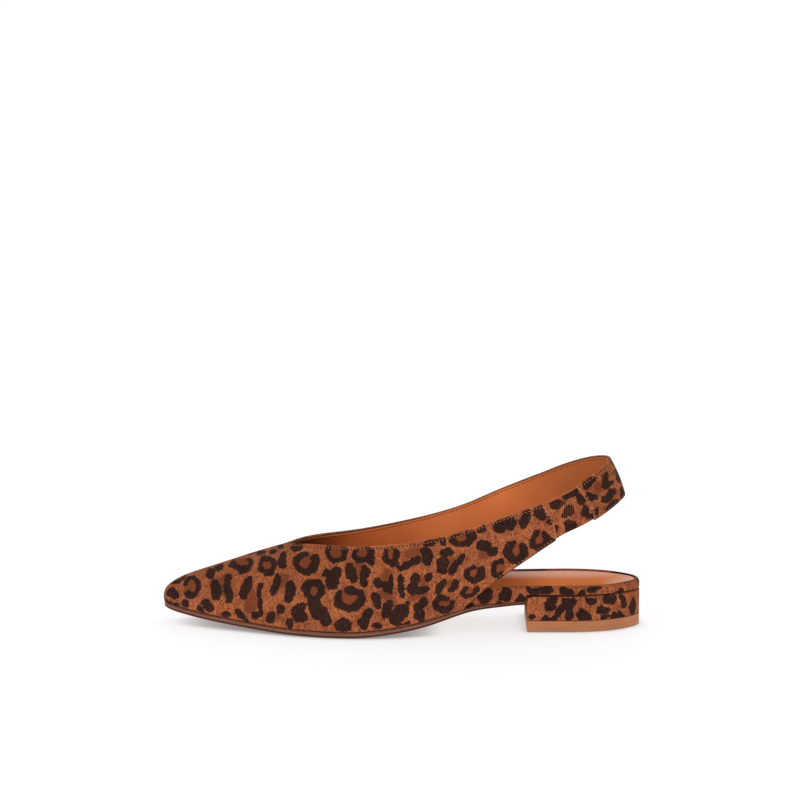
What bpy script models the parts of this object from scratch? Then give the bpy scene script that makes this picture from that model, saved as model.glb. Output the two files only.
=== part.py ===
"""Slingback flat with a pointed toe and a low block heel, as separate solids in metres, +Z up.

It is a left shoe, standing empty on the floor at Z = 0. It points along -X and its outer
(lateral) side faces -Y. The tables are in millimetres: x is the distance behind the toe tip and
y is zero on the centre line of the heel. An empty carries every part to the shoe's own frame,
whose origin lies on the floor under the middle of the shoe.
"""

import math
from collections import namedtuple

import bmesh
import bpy
import numpy as np

MM = 0.001
WELD = 1e-6  # points closer than this, in metres, are one

# Driving sizes in millimetres
LENGTH = 264.0  # toe tip to the back of the heel
MIDDLE_X = 132.2  # middle of the shoe's length, measured from the toe tip
MIDDLE_Y = -3.0  # middle of the ball width, seen from the heel's centre line
WALL = 2.0  # suede and lining together
GAP = 0.3  # air between pieces that touch
SOLE = 2.7  # outsole thickness under the ball
SOLE_WAIST = 1.5  # outsole thickness where it meets the heel
SKIVE_RANGE = (140.0, 195.0)  # stations between which the outsole thins
SOLE_EDGE = 0.6  # chamfer along the bottom of the outsole
LIFT = 6.0  # height of the walking layer under the heel
HEEL_TOP = 19.9  # height of the covered heel block's top
HEEL_EDGE = 0.4  # bevel on the heel block and its lift
SOCK = 1.2  # sock lining thickness
RIM_WIDTH = 2.4  # rim of the board round the sock
RIM_STAND = 0.6  # rim above the edge of the sock
BOARD_CLEARANCE = WALL + 0.6  # board edge to the outside of the upper
BOARD_EDGE = 2.0  # rounding on the rim of the wrapped board
BOARD_EDGE_SHARE = 0.45  # most of the board's thickness that the rounding takes where it is thin
BOARD_FREE = (166.0, 190.0)  # stations between which the board widens and its rim rises
SEAT_DISH = 1.8  # depth of the heel seat's hollow
DISH_END = 9.0  # distance from the back of the heel over which the hollow fades
DISH_RANGE = (150.0, 200.0)  # stations between which the hollow grows to its full depth
FULLNESS = 0.9  # how far the vamp swells past a plain quarter ellipse
NARROW = 2.0  # a section with less inward reach than this swells less
STRAP_BOW = 0.3  # part of its upright bend that the section keeps at the back of the strap
GUSSET_RECESS = 0.4  # gusset surface below the wing's
GUSSET_MARGIN = 0.05  # share of the strap's width missing along each edge of the gusset

# Sections of the forepart, from the toe tip to where the wings leave the sole. The sole's outline
# (x, lateral, medial), the height of its underside (rise) and the rim of the insole board (seat)
# come first, then the ridge of the vamp or, behind the throat, the topline of each side. Turn is
# the angle in degrees through which the section bends inwards from upright on its way up.
Fore = namedtuple(
    "Fore",
    "x lateral medial rise seat top_x top_lateral top_medial crest_lateral crest_medial turn",
)
FOREPART = (
    Fore(1.0, 4.0, 4.0, 8.6, 13.4, 6.0, 4.0, 4.0, 21.8, 21.8, 65),
    Fore(2.9, -1.4, 9.2, 8.1, 12.9, 8.6, 4.0, 4.0, 23.5, 23.5, 76),
    Fore(11.0, -7.8, 14.4, 6.4, 11.2, 15.5, 3.7, 3.7, 26.8, 26.8, 85),
    Fore(29.0, -17.2, 21.6, 3.9, 8.8, 31.0, 3.0, 3.0, 32.1, 32.1, 88),
    Fore(49.0, -26.2, 28.6, 1.9, 6.8, 49.0, 2.2, 2.2, 38.0, 38.0, 90),
    Fore(69.0, -35.0, 34.0, 0.5, 5.4, 67.0, 1.5, 1.5, 43.6, 43.6, 88),
    Fore(89.0, -41.2, 37.2, 0.0, 4.9, 82.0, -13.0, 16.0, 46.5, 45.8, 74),
    Fore(107.0, -43.4, 36.8, 0.0, 5.2, 104.0, -25.0, 26.5, 47.4, 46.7, 54),
    Fore(127.0, -42.0, 34.0, 1.9, 8.4, 126.0, -30.5, 29.5, 49.6, 50.0, 34),
    Fore(147.0, -37.6, 29.6, 5.6, 14.0, 147.0, -32.8, 30.2, 52.8, 54.6, 26),
    Fore(165.0, -33.0, 26.6, 11.0, 20.0, 165.0, -33.2, 30.0, 57.2, 60.0, 24),
)
THROAT = 5  # row of the V throat
EXIT = len(FOREPART) - 1  # row where the wings leave the sole

# The sole's outline behind the wings, round the heel
Rear = namedtuple("Rear", "x lateral medial rise seat")
REARPART = (
    Rear(178.0, -29.8, 24.8, 13.4, 24.2),
    Rear(190.0, -27.4, 24.2, 14.4, 25.3),
    Rear(200.6, -26.2, 24.8, 15.0, 25.3),
    Rear(216.0, -26.2, 25.9, 15.0, 25.3),
    Rear(232.0, -25.7, 25.7, 15.0, 25.3),
    Rear(246.0, -21.8, 21.8, 15.0, 25.3),
    Rear(256.0, -15.0, 15.0, 15.0, 25.3),
    Rear(262.2, -7.6, 7.6, 15.0, 25.3),
    Rear(264.0, 0.0, 0.0, 15.0, 25.3),
)
BREAST = EXIT + 3  # row of the heel's front face, where the outsole ends

# Wings and strap, from the exit to the back of the heel: lower edge, then upper edge
Wing = namedtuple(
    "Wing",
    "low_x low_lateral low_medial foot_lateral foot_medial "
    "top_x top_lateral top_medial crest_lateral crest_medial turn",
)
WINGS = (
    Wing(179.2, -32.6, 28.0, 26.0, 27.5, 176.5, -32.8, 29.8, 61.2, 64.8, 22),
    Wing(195.0, -32.0, 29.2, 37.4, 40.5, 191.0, -32.1, 30.2, 66.3, 71.0, 18),
    Wing(216.4, -31.2, 30.0, 51.9, 56.4, 209.1, -31.1, 30.1, 72.5, 78.2, 16),
    Wing(227.0, -29.7, 29.1, 57.2, 61.3, 218.0, -29.9, 29.1, 76.6, 82.0, 16),
    Wing(237.5, -25.9, 25.5, 62.0, 65.0, 226.9, -27.7, 27.2, 81.1, 85.6, 16),
    Wing(248.6, -16.3, 16.3, 67.9, 69.3, 239.6, -18.3, 18.3, 88.4, 90.3, 16),
    Wing(255.6, 0.0, 0.0, 71.8, 71.8, 247.0, 0.0, 0.0, 92.6, 92.6, 16),
)
WING_SEAM = EXIT + 3  # row where a wing ends
GUSSET_SEAM = EXIT + 5  # row where the gusset meets the back strap
BACK = EXIT + len(WINGS)  # row at the back of the heel
SEAM_ROWS = 0.012  # part of a row left open on each side of a strap joint, about 0.15 mm

# Mesh counts
STEPS_PER_ROW = 2
STRAP_STEPS_PER_ROW = 4
UPPER_STRIPS = 8
STRAP_STRIPS = 4
DISH_STRIPS = 6
PROFILE_SAMPLES = 400

SIDES = ("lateral", "medial")


def column(rows, name):
    """One named column of a table."""
    return [getattr(row, name) for row in rows]


def spline(values, flat_start=False, flat_end=False):
    """Cubic spline through values set at 0, 1, 2 and so on; a flat end has no slope."""
    values = np.array(values, float)
    count = len(values)
    system = np.eye(count)
    right = np.zeros(count)
    for i in range(1, count - 1):
        system[i, i - 1 : i + 2] = (1, 4, 1)
        right[i] = 6 * (values[i + 1] - 2 * values[i] + values[i - 1])
    if flat_start:
        system[0, :2] = (2, 1)
        right[0] = 6 * (values[1] - values[0])
    if flat_end:
        system[-1, -2:] = (1, 2)
        right[-1] = -6 * (values[-1] - values[-2])
    bend = np.linalg.solve(system, right)

    def at(row):
        first = np.clip(np.floor(row).astype(int), 0, count - 2)
        after = row - first
        before = 1 - after
        straight = before * values[first] + after * values[first + 1]
        curved = (before**3 - before) * bend[first] + (after**3 - after) * bend[first + 1]
        return straight + curved / 6

    return at


def smooth_step(value, start, end):
    """0 before start, 1 after end, smooth between."""
    share = min(max((value - start) / (end - start), 0.0), 1.0)
    return share * share * (3 - 2 * share)


# Outline and profile of the sole
SOLE_ROWS = FOREPART + REARPART
LAST_ROW = len(SOLE_ROWS) - 1
SOLE_X = spline(column(SOLE_ROWS, "x"), True, True)
SOLE_Y = {side: spline(column(SOLE_ROWS, side)) for side in SIDES}
SAMPLE_ROWS = np.linspace(0, LAST_ROW, PROFILE_SAMPLES)
SAMPLE_X = SOLE_X(SAMPLE_ROWS)
SAMPLE_RISE = np.maximum(spline(column(SOLE_ROWS, "rise"), True, True)(SAMPLE_ROWS), 0.0)
SAMPLE_SEAT = spline(column(SOLE_ROWS, "seat"), True, True)(SAMPLE_ROWS)


def rise_at(x):
    """Height of the sole's underside at a station; the tread is flat where the table says zero."""
    tread_start = FOREPART[THROAT + 1].x
    tread_end = FOREPART[THROAT + 2].x
    if tread_start <= x <= tread_end:
        return 0.0
    return float(np.interp(x, SAMPLE_X, SAMPLE_RISE))


def sole_at(x):
    """Thickness of the outsole at a station; it thins through the waist."""
    return SOLE + (SOLE_WAIST - SOLE) * smooth_step(x, *SKIVE_RANGE)


def seat_at(x):
    """Height of the insole board's rim at a station."""
    return float(np.interp(x, SAMPLE_X, SAMPLE_SEAT))


def outline(row, side, inset=0.0):
    """Point of the sole's outline in plan, moved inwards by the inset."""
    step = 0.001
    start = min(max(row - step, 0.0), LAST_ROW - 2 * step)
    at_an_end = row in (0, LAST_ROW)
    along_x = 0.0 if at_an_end else SOLE_X(start + 2 * step) - SOLE_X(start)
    along_y = SOLE_Y[side](start + 2 * step) - SOLE_Y[side](start)
    turn = 1 if side == "lateral" else -1
    length = math.hypot(along_x, along_y)
    x = SOLE_X(row) - turn * inset * along_y / length
    y = SOLE_Y[side](row) + turn * inset * along_x / length
    return np.array((x, y))


# Guide curves of the upper and the strap
UPPER_ROWS = FOREPART + WINGS
RIDGE_ROWS = FOREPART[: THROAT + 1]
TOPLINE_ROWS = UPPER_ROWS[THROAT:]
TURN = spline(column(UPPER_ROWS, "turn"), False, True)
RIDGE = {}
TOPLINE = {}
LOWER = {}
for side in SIDES:
    RIDGE[side] = (
        spline(column(RIDGE_ROWS, "top_x"), True),
        spline(column(RIDGE_ROWS, "top_" + side), True),
        spline(column(RIDGE_ROWS, "crest_" + side), True),
    )
    TOPLINE[side] = (
        spline(column(TOPLINE_ROWS, "top_x"), False, True),
        spline(column(TOPLINE_ROWS, "top_" + side)),
        spline(column(TOPLINE_ROWS, "crest_" + side), False, True),
    )
    exit_row = FOREPART[EXIT]
    exit_foot = exit_row.rise + sole_at(exit_row.x) + GAP
    LOWER[side] = (
        spline([exit_row.x] + column(WINGS, "low_x"), False, True),
        spline([getattr(exit_row, side)] + column(WINGS, "low_" + side)),
        spline([exit_foot] + column(WINGS, "foot_" + side), False, True),
    )


def lower_edge(row, side):
    """Feather edge on the sole, then the free lower edge of the wing and strap."""
    if row > EXIT:
        return np.array([guide(row - EXIT) for guide in LOWER[side]])
    x, y = outline(row, side)
    return np.array((x, y, rise_at(x) + sole_at(x) + GAP))


def upper_edge(row, side):
    """Ridge of the vamp up to the throat, then the topline."""
    if row > THROAT:
        return np.array([guide(row - THROAT) for guide in TOPLINE[side]])
    return np.array([guide(row) for guide in RIDGE[side]])


def upper_point(row, share, side):
    """Point on the outside of the upper; share runs from its lower edge to its upper edge."""
    low = lower_edge(row, side)
    top = upper_edge(row, side)
    turn = math.radians(TURN(row))
    bow = 1 - (1 - STRAP_BOW) * smooth_step(row, WING_SEAM, BACK)
    bend = (1 - math.cos(turn * share)) / (1 - math.cos(turn))
    inwards = share + bow * (bend - share)
    upwards = math.sin(turn * share) / math.sin(turn)
    point = low + (top - low) * np.array((inwards, inwards, upwards))
    outwards = low[:2] - top[:2]
    reach = max(np.linalg.norm(outwards), NARROW)
    point[:2] += outwards / reach * FULLNESS * math.sin(turn) * math.sin(math.pi * share)
    return point


def upper_normal(row, share, side):
    """Direction that points out of the upper at a point."""
    step = 0.01
    along = upper_point(row + step, share, side) - upper_point(row - step, share, side)
    across = upper_point(row, share + step, side) - upper_point(row, share - step, side)
    normal = np.cross(along, across)
    turn = 1 if side == "lateral" else -1
    return turn * normal / np.linalg.norm(normal)


# Blender helpers
def remove_everything():
    """Start from an empty scene."""
    for item in list(bpy.data.objects):
        bpy.data.objects.remove(item, do_unlink=True)


def make_material(name, color, roughness):
    """Plain Principled material."""
    material = bpy.data.materials.new(name)
    material.use_nodes = True
    shader = material.node_tree.nodes["Principled BSDF"]
    shader.inputs["Base Color"].default_value = (*color, 1.0)
    shader.inputs["Roughness"].default_value = roughness
    material.diffuse_color = (*color, 1.0)
    return material


def place(name, data, material, collection, frame):
    """Object for one sub-part, carried by the shoe's frame."""
    data.materials.append(material)
    item = bpy.data.objects.new(name, data)
    collection.objects.link(item)
    item.parent = frame
    return item


def mesh_from(name, maker):
    """Mesh filled by a function that takes a bmesh, with points that coincide welded."""
    work = bmesh.new()
    maker(work)
    bmesh.ops.remove_doubles(work, verts=work.verts, dist=WELD)
    bmesh.ops.dissolve_degenerate(work, edges=work.edges, dist=WELD / 10)
    data = bpy.data.meshes.new(name)
    work.to_mesh(data)
    work.free()
    return data


def grid_mesh(name, panels):
    """Open surface from panels of points; panels that touch are joined along their edges."""

    def maker(work):
        for points, reverse in panels:
            lines = [[work.verts.new(point * MM) for point in line] for line in points]
            for line, following in zip(lines, lines[1:]):
                for k in range(len(line) - 1):
                    corners = [line[k], following[k], following[k + 1], line[k + 1]]
                    work.faces.new(corners[::-1] if reverse else corners)

    return mesh_from(name, maker)


def loft_mesh(name, rings):
    """Closed solid through rings of equally many points, each ring from the lateral side along
    the bottom and back over the top; a ring with no width needs no cap."""

    def maker(work):
        lines = [[work.verts.new(point * MM) for point in ring] for ring in rings]
        count = len(lines[0])
        for line, following in zip(lines, lines[1:]):
            for k in range(count):
                after = (k + 1) % count
                work.faces.new((line[k], line[after], following[after], following[k]))
        for line, ring in ((lines[0], rings[0]), (lines[-1][::-1], rings[-1])):
            if np.ptp(np.array(ring)[:, 1]) > GAP:
                work.faces.new(line[::-1])

    return mesh_from(name, maker)


def add_wall(item, thickness):
    """Give an open surface its thickness, inwards from the outside."""
    wall = item.modifiers.new("wall", "SOLIDIFY")
    wall.thickness = thickness * MM
    wall.offset = -1.0
    wall.use_even_offset = True


def rows_between(start, end, steps=STEPS_PER_ROW):
    """Rows from start to end, through every even step between them."""
    first = math.floor(start * steps) + 1
    last = math.ceil(end * steps)
    inner = [k / steps for k in range(first, last)]
    return [start] + inner + [end]


# Sub-parts
def upper_panels():
    """Outside of the vamp and both wings."""
    shares = np.linspace(0, 1, UPPER_STRIPS + 1)
    rows = rows_between(0, WING_SEAM - SEAM_ROWS)
    panels = []
    for side in SIDES:
        points = [[upper_point(row, share, side) for share in shares] for row in rows]
        panels.append((points, side == "medial"))
    return panels


def strap_panels():
    """Outside of the back strap, from the gusset round the heel to the inner wing."""
    shares = np.linspace(0, 1, STRAP_STRIPS + 1)
    panels = []
    for side, start in (("lateral", GUSSET_SEAM), ("medial", WING_SEAM)):
        rows = rows_between(start + SEAM_ROWS, BACK, STRAP_STEPS_PER_ROW)
        points = [[upper_point(row, share, side) for share in shares] for row in rows]
        panels.append((points, side == "medial"))
    return panels


def gusset_panels():
    """Outside of the elastic gusset, a little narrower and lower than the wing."""
    shares = np.linspace(GUSSET_MARGIN, 1 - GUSSET_MARGIN, STRAP_STRIPS + 1)
    rows = rows_between(WING_SEAM + SEAM_ROWS, GUSSET_SEAM - SEAM_ROWS)
    points = []
    for row in rows:
        line = []
        for share in shares:
            inwards = GUSSET_RECESS * upper_normal(row, share, "lateral")
            line.append(upper_point(row, share, "lateral") - inwards)
        points.append(line)
    return [(points, False)]


def outsole_rings():
    """Sections of the outsole from the toe tip to the heel breast."""
    rings = []
    for row in rows_between(0, BREAST):
        ring = []
        for side, turn in (("lateral", -1), ("medial", 1)):
            edge = outline(row, side, GAP)
            tread = outline(row, side, GAP + SOLE_EDGE)
            bottom = rise_at(edge[0])
            points = [
                (*tread, rise_at(tread[0])),
                (*edge, bottom + SOLE_EDGE),
                (*edge, bottom + sole_at(edge[0])),
            ]
            ring += points[::turn]
        rings.append(np.array(ring))
    return rings


def board_inset(x):
    """How far the board's edge lies inside the outline: clear of the upper, then nearly flush."""
    free = smooth_step(x, *BOARD_FREE)
    return BOARD_CLEARANCE + (GAP - BOARD_CLEARANCE) * free


def dish(x, share):
    """Hollow of the seat at a share of the width, measured down from the rim."""
    depth = SEAT_DISH * smooth_step(x, *DISH_RANGE)
    sock_end = LENGTH - RIM_WIDTH - 2 * GAP
    back = smooth_step(sock_end - x, 0, DISH_END)
    return depth * back * math.sin(math.pi * share) ** 2


def recess(x):
    """Depth of the board's floor below its rim, which only the open seat has."""
    return (SOCK + GAP + RIM_STAND) * smooth_step(x, *BOARD_FREE)


def board_underside(x, behind_breast):
    """Underside of the board: on the outsole, then one step higher on the heel block."""
    if behind_breast:
        return HEEL_TOP + GAP
    return rise_at(x) + sole_at(x) + GAP


def board_ring(row, behind_breast):
    """Section of the insole board with a rounded, covered rim."""
    x = float(SOLE_X(row))
    inset = board_inset(x)
    halves = {}
    for side in SIDES:
        edge = outline(row, side, inset)
        low = board_underside(edge[0], behind_breast)
        radius = min(BOARD_EDGE, BOARD_EDGE_SHARE * (seat_at(edge[0]) - low))
        round_off = radius * (1 - math.sqrt(0.5))
        corner = outline(row, side, inset + round_off)
        rim = outline(row, side, inset + radius)
        floor = outline(row, side, inset + RIM_WIDTH)
        halves[side] = [
            np.array((*corner, low)),
            np.array((*edge, low + round_off)),
            np.array((*edge, seat_at(edge[0]) - radius)),
            np.array((*corner, seat_at(corner[0]) - round_off)),
            np.array((*rim, seat_at(rim[0]))),
            np.array((*floor, seat_at(floor[0]))),
            np.array((*floor, seat_at(floor[0]) - recess(floor[0]))),
        ]
    start = halves["lateral"][-1]
    end = halves["medial"][-1]
    across = []
    for share in np.linspace(0, 1, DISH_STRIPS + 1)[1:-1]:
        point = start + (end - start) * share
        point[2] -= dish(point[0], share)
        across.append(point)
    return np.array(halves["medial"] + across[::-1] + halves["lateral"][::-1])


def board_rings():
    """Sections of the insole board from the toe to the back of the heel."""
    rings = [board_ring(row, False) for row in rows_between(0, BREAST - SEAM_ROWS)]
    rings += [board_ring(row, True) for row in rows_between(BREAST + SEAM_ROWS, LAST_ROW)]
    return rings


def sock_rings():
    """Sections of the sock lining, which lies in the board's hollow."""
    rings = []
    for row in rows_between(0, LAST_ROW):
        inset = board_inset(float(SOLE_X(row))) + RIM_WIDTH + GAP
        start = outline(row, "lateral", inset)
        end = outline(row, "medial", inset)
        lower = []
        upper = []
        for share in np.linspace(0, 1, DISH_STRIPS + 1):
            x, y = start + (end - start) * share
            bottom = seat_at(x) - recess(x) + GAP - dish(x, share)
            lower.append((x, y, bottom))
            upper.append((x, y, bottom + SOCK))
        rings.append(np.array(lower + upper[::-1]))
    return rings


def heel_outline():
    """Outline of the heel, flat across its front face, which stands clear of the board's step."""
    rows = rows_between(BREAST + 3 * SEAM_ROWS, LAST_ROW)
    lateral = [outline(row, "lateral", GAP) for row in rows]
    medial = [outline(row, "medial", GAP) for row in rows[-2::-1]]
    return lateral + medial


def heel_layer(name, bottom, top):
    """Flat layer of the heel between two heights, with a small bevel."""
    data = bpy.data.curves.new(name, "CURVE")
    data.dimensions = "2D"
    data.fill_mode = "BOTH"
    data.extrude = ((top - bottom) / 2 - HEEL_EDGE) * MM
    data.bevel_depth = HEEL_EDGE * MM
    data.bevel_resolution = 0
    data.offset = -HEEL_EDGE * MM
    points = heel_outline()
    path = data.splines.new("POLY")
    path.points.add(len(points) - 1)
    for vertex, (x, y) in zip(path.points, points):
        vertex.co = (x * MM, y * MM, 0.0, 1.0)
    path.use_cyclic_u = True
    return data


def build():
    """Make every sub-part."""
    remove_everything()
    collection = bpy.data.collections.new("slingback_shoe")
    bpy.context.scene.collection.children.link(collection)
    frame = bpy.data.objects.new("shoe_frame", None)
    frame.location = (-MIDDLE_X * MM, -MIDDLE_Y * MM, 0.0)
    collection.objects.link(frame)

    suede = make_material("upper_suede", (0.40, 0.17, 0.07), 0.9)
    strap_suede = make_material("strap_suede", (0.40, 0.17, 0.07), 0.9)
    elastic = make_material("gusset_elastic", (0.36, 0.15, 0.06), 0.9)
    seat_cover = make_material("seat_cover", (0.38, 0.16, 0.07), 0.9)
    sock_leather = make_material("sock_leather", (0.50, 0.18, 0.06), 0.45)
    sole_leather = make_material("sole_leather", (0.17, 0.06, 0.04), 0.55)
    heel_cover = make_material("heel_cover", (0.38, 0.16, 0.07), 0.9)
    rubber = make_material("lift_rubber", (0.43, 0.18, 0.08), 0.6)

    upper_data = grid_mesh("upper", upper_panels())
    upper = place("upper", upper_data, suede, collection, frame)
    add_wall(upper, WALL)
    strap_data = grid_mesh("sling_strap", strap_panels())
    strap = place("sling_strap", strap_data, strap_suede, collection, frame)
    add_wall(strap, WALL)
    gusset_data = grid_mesh("elastic_gusset", gusset_panels())
    gusset = place("elastic_gusset", gusset_data, elastic, collection, frame)
    add_wall(gusset, WALL - 2 * GUSSET_RECESS)

    place("outsole", loft_mesh("outsole", outsole_rings()), sole_leather, collection, frame)
    place("insole_board", loft_mesh("insole_board", board_rings()), seat_cover, collection, frame)
    place("insole", loft_mesh("insole", sock_rings()), sock_leather, collection, frame)

    block_data = heel_layer("heel_block", LIFT + GAP, HEEL_TOP)
    block = place("heel_block", block_data, heel_cover, collection, frame)
    block.location.z = (LIFT + GAP + HEEL_TOP) / 2 * MM
    lift_data = heel_layer("top_lift", 0.0, LIFT)
    lift = place("top_lift", lift_data, rubber, collection, frame)
    lift.location.z = LIFT / 2 * MM


build()
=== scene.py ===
"""Dressed model of a leopard-print slingback flat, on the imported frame.

Every piece is worked out on a fine grid from the same tables as the part's source, so it keeps the
form of the solid that it stands for. The tables are in millimetres: x is the distance behind the
toe tip and y is zero on the centre line of the heel. The chart of the print is in pixels of the
800 x 800 photograph, and each of its marks is seated on the surface that shows at that pixel.
"""

import math
import random
from collections import namedtuple

import bmesh
import bpy
import numpy as np
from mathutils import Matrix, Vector
from mathutils.noise import noise as lump
from mathutils.noise import noise_vector, seed_set


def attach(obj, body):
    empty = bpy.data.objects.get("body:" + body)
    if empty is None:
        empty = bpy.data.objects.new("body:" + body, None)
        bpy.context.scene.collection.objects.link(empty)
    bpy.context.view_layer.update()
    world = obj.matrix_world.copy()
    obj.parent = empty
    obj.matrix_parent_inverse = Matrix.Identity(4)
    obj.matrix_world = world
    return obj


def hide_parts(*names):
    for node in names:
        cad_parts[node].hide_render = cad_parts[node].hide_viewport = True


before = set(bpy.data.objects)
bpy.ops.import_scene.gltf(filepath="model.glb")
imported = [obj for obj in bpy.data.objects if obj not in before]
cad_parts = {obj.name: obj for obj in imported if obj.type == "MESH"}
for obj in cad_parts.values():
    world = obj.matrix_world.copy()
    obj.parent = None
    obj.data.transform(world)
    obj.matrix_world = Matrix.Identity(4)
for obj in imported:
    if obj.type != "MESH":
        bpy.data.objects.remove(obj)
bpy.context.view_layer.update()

MM = 0.001
WELD = 1e-5  # points closer than this, in metres, are one

# Driving sizes in millimetres
LENGTH = 264.0  # toe tip to the back of the heel
MIDDLE = np.array((132.2, -3.0, 0.0))  # middle of the length and of the ball width, on the floor
WALL = 2.0  # suede and lining together
SUEDE = 1.2  # printed suede alone
LINING = 0.7  # lining leather alone
EDGE_ROUND = 0.5  # rounding of a folded edge
FOLD_ANGLE = 55  # edges sharper than this, in degrees, are rounded
FOLD_SEGMENTS = 3
GAP = 0.3  # air between pieces that touch
SOLE = 2.7  # outsole thickness under the ball
SOLE_WAIST = 1.5  # outsole thickness where it meets the heel
SKIVE_RANGE = (140.0, 195.0)  # stations between which the outsole thins
BURNISH_AND_SHADE = (1.0, 1.4)  # heights between which the outsole's dark lower edge ends, partly burnished and partly painted shadow of the floor contact
SOLE_EDGE = 0.6  # rounding along the bottom of the outsole
LIFT = 6.0  # height of the walking layer under the heel
LIFT_ROUND = 0.25  # rounding on the lift
HEEL_TOP = 19.9  # height of the covered heel block's top
HEEL_ROUND = 0.35  # rounding along the bottom of the heel block
GROOVE_INSET = 1.3  # depth of the rounded groove between the rim and the heel
GROOVE_RISE = 0.8  # height that each side of the groove takes from the rim and the heel
GROOVE_LINE = 0.9  # reach of the groove's painted shade line on each side
GROOVE_FADE = (205.0, 245.0)  # stations between which the dark line weakens
GROOVE_DARK = (0.9, 0.4)  # its strength at the front and at the back of the heel
SOCK = 1.2  # sock lining thickness
SOCK_ROUND = 0.4  # rounding on the edge of the sock
RIM_WIDTH = 2.4  # rim of the board round the sock
RIM_STAND = 0.6  # rim above the edge of the sock
BOARD_CLEARANCE = WALL + 0.6  # board edge to the outside of the upper
BOARD_EDGE = 2.0  # rounding on the rim of the wrapped board
BOARD_EDGE_SHARE = 0.45  # most of the board's thickness that the rounding takes where it is thin
BOARD_FREE = (166.0, 190.0)  # stations between which the board widens and its rim rises
SEAT_DISH = 1.8  # depth of the heel seat's hollow
DISH_END = 9.0  # distance from the back of the heel over which the hollow fades
DISH_RANGE = (150.0, 200.0)  # stations between which the hollow grows to its full depth
FULLNESS = 0.9  # how far the vamp swells past a plain quarter ellipse
NARROW = 2.0  # a section with less inward reach than this swells less
STRAP_BOW = 0.3  # part of its upright bend that the section keeps at the back of the strap
FEATHER_TUCK = 1.2  # how far the suede turns in where it meets the sole
FEATHER_REACH = 0.8  # height over which it turns in
FEATHER_START = (0.3, 1.5)  # rows at the toe between which this begins
FEATHER_STOP = 0.4  # rows before the exit over which it ends
FEATHER_LINE = 0.6  # height of the painted shade line where the suede meets the sole
END_LINE = 0.45  # half the width of the painted highlight along a folded edge
TOP_LINE = 0.6  # strength of that highlight along the topline
LOW_LINE = 0.3  # half the width of the dark line along the free lower edges, partly the dark cut edge and partly painted shadow
LOW_DARK = 0.85  # its strength
LOW_START = 0.2  # rows behind the exit where it begins
GUSSET_RECESS = 0.4  # gusset surface below the wing's
GUSSET_MARGIN = 0.05  # share of the strap's width missing along each edge of the gusset
GUSSET_SKIN = 0.8  # thickness of the gusset's printed cover
GUSSET_TUCK = 0.05  # part of a row by which the gusset runs under the wing and the strap

# Stitching, in millimetres
STITCH_PITCH = 2.05
STITCH_LENGTH = 1.2
STITCH_RADIUS = 0.24
STITCH_STAND = 0.35  # part of its radius by which a stitch stands above its furrow
HOLE_RADIUS = 0.42
OUTSIDE_HOLE = (1.0, 0.16)  # length and half height of the dark rod that paints the shade of a needle hole
LINING_HOLE = (1.3, 0.30)
BEAD = ((-0.5, 0.45), (-0.34, 1.0), (0.34, 1.0), (0.5, 0.45))  # place and width along a stitch
BEAD_SIDES = 6
TOP_ROW = 1.7  # stitch row to the topline
LOW_ROW = 1.2  # stitch row to the free lower edge of wings and strap
SEAM_ROW = 1.4  # stitch row to a strap seam
SEAM_SHARES = (0.05, 0.95)  # ends of a seam's stitch row across the strap
LINING_ROW = 1.7  # stitch row on the lining to the topline
GROOVE_DEPTH = 0.22  # how far a stitch row pulls the surface in
GROOVE_WIDTH = 0.55
BAND_SWELL = 0.35  # swell of the lining's band above its stitch row
LINING_EDGE = 0.6  # lining below the edge of the suede

# Sections of the forepart, from the toe tip to where the wings leave the sole. The sole's outline
# (x, lateral, medial), the height of its underside (rise) and the rim of the insole board (seat)
# come first, then the ridge of the vamp or, behind the throat, the topline of each side. Turn is
# the angle in degrees through which the section bends inwards from upright on its way up.
Fore = namedtuple(
    "Fore",
    "x lateral medial rise seat top_x top_lateral top_medial crest_lateral crest_medial turn",
)
FOREPART = (
    Fore(1.0, 4.0, 4.0, 8.6, 13.4, 6.0, 4.0, 4.0, 21.8, 21.8, 65),
    Fore(2.9, -1.4, 9.2, 8.1, 12.9, 8.6, 4.0, 4.0, 23.5, 23.5, 76),
    Fore(11.0, -7.8, 14.4, 6.4, 11.2, 15.5, 3.7, 3.7, 26.8, 26.8, 85),
    Fore(29.0, -17.2, 21.6, 3.9, 8.8, 31.0, 3.0, 3.0, 32.1, 32.1, 88),
    Fore(49.0, -26.2, 28.6, 1.9, 6.8, 49.0, 2.2, 2.2, 38.0, 38.0, 90),
    Fore(69.0, -35.0, 34.0, 0.5, 5.4, 67.0, 1.5, 1.5, 43.6, 43.6, 88),
    Fore(89.0, -41.2, 37.2, 0.0, 4.9, 82.0, -13.0, 16.0, 46.5, 45.8, 74),
    Fore(107.0, -43.4, 36.8, 0.0, 5.2, 104.0, -25.0, 26.5, 47.4, 46.7, 54),
    Fore(127.0, -42.0, 34.0, 1.9, 8.4, 126.0, -30.5, 29.5, 49.6, 50.0, 34),
    Fore(147.0, -37.6, 29.6, 5.6, 14.0, 147.0, -32.8, 30.2, 52.8, 54.6, 26),
    Fore(165.0, -33.0, 26.6, 11.0, 20.0, 165.0, -33.2, 30.0, 57.2, 60.0, 24),
)
THROAT = 5  # row of the V throat
TREAD = (FOREPART[THROAT + 1].x, FOREPART[THROAT + 2].x)  # stations of the flat tread
EXIT = len(FOREPART) - 1  # row where the wings leave the sole

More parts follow.
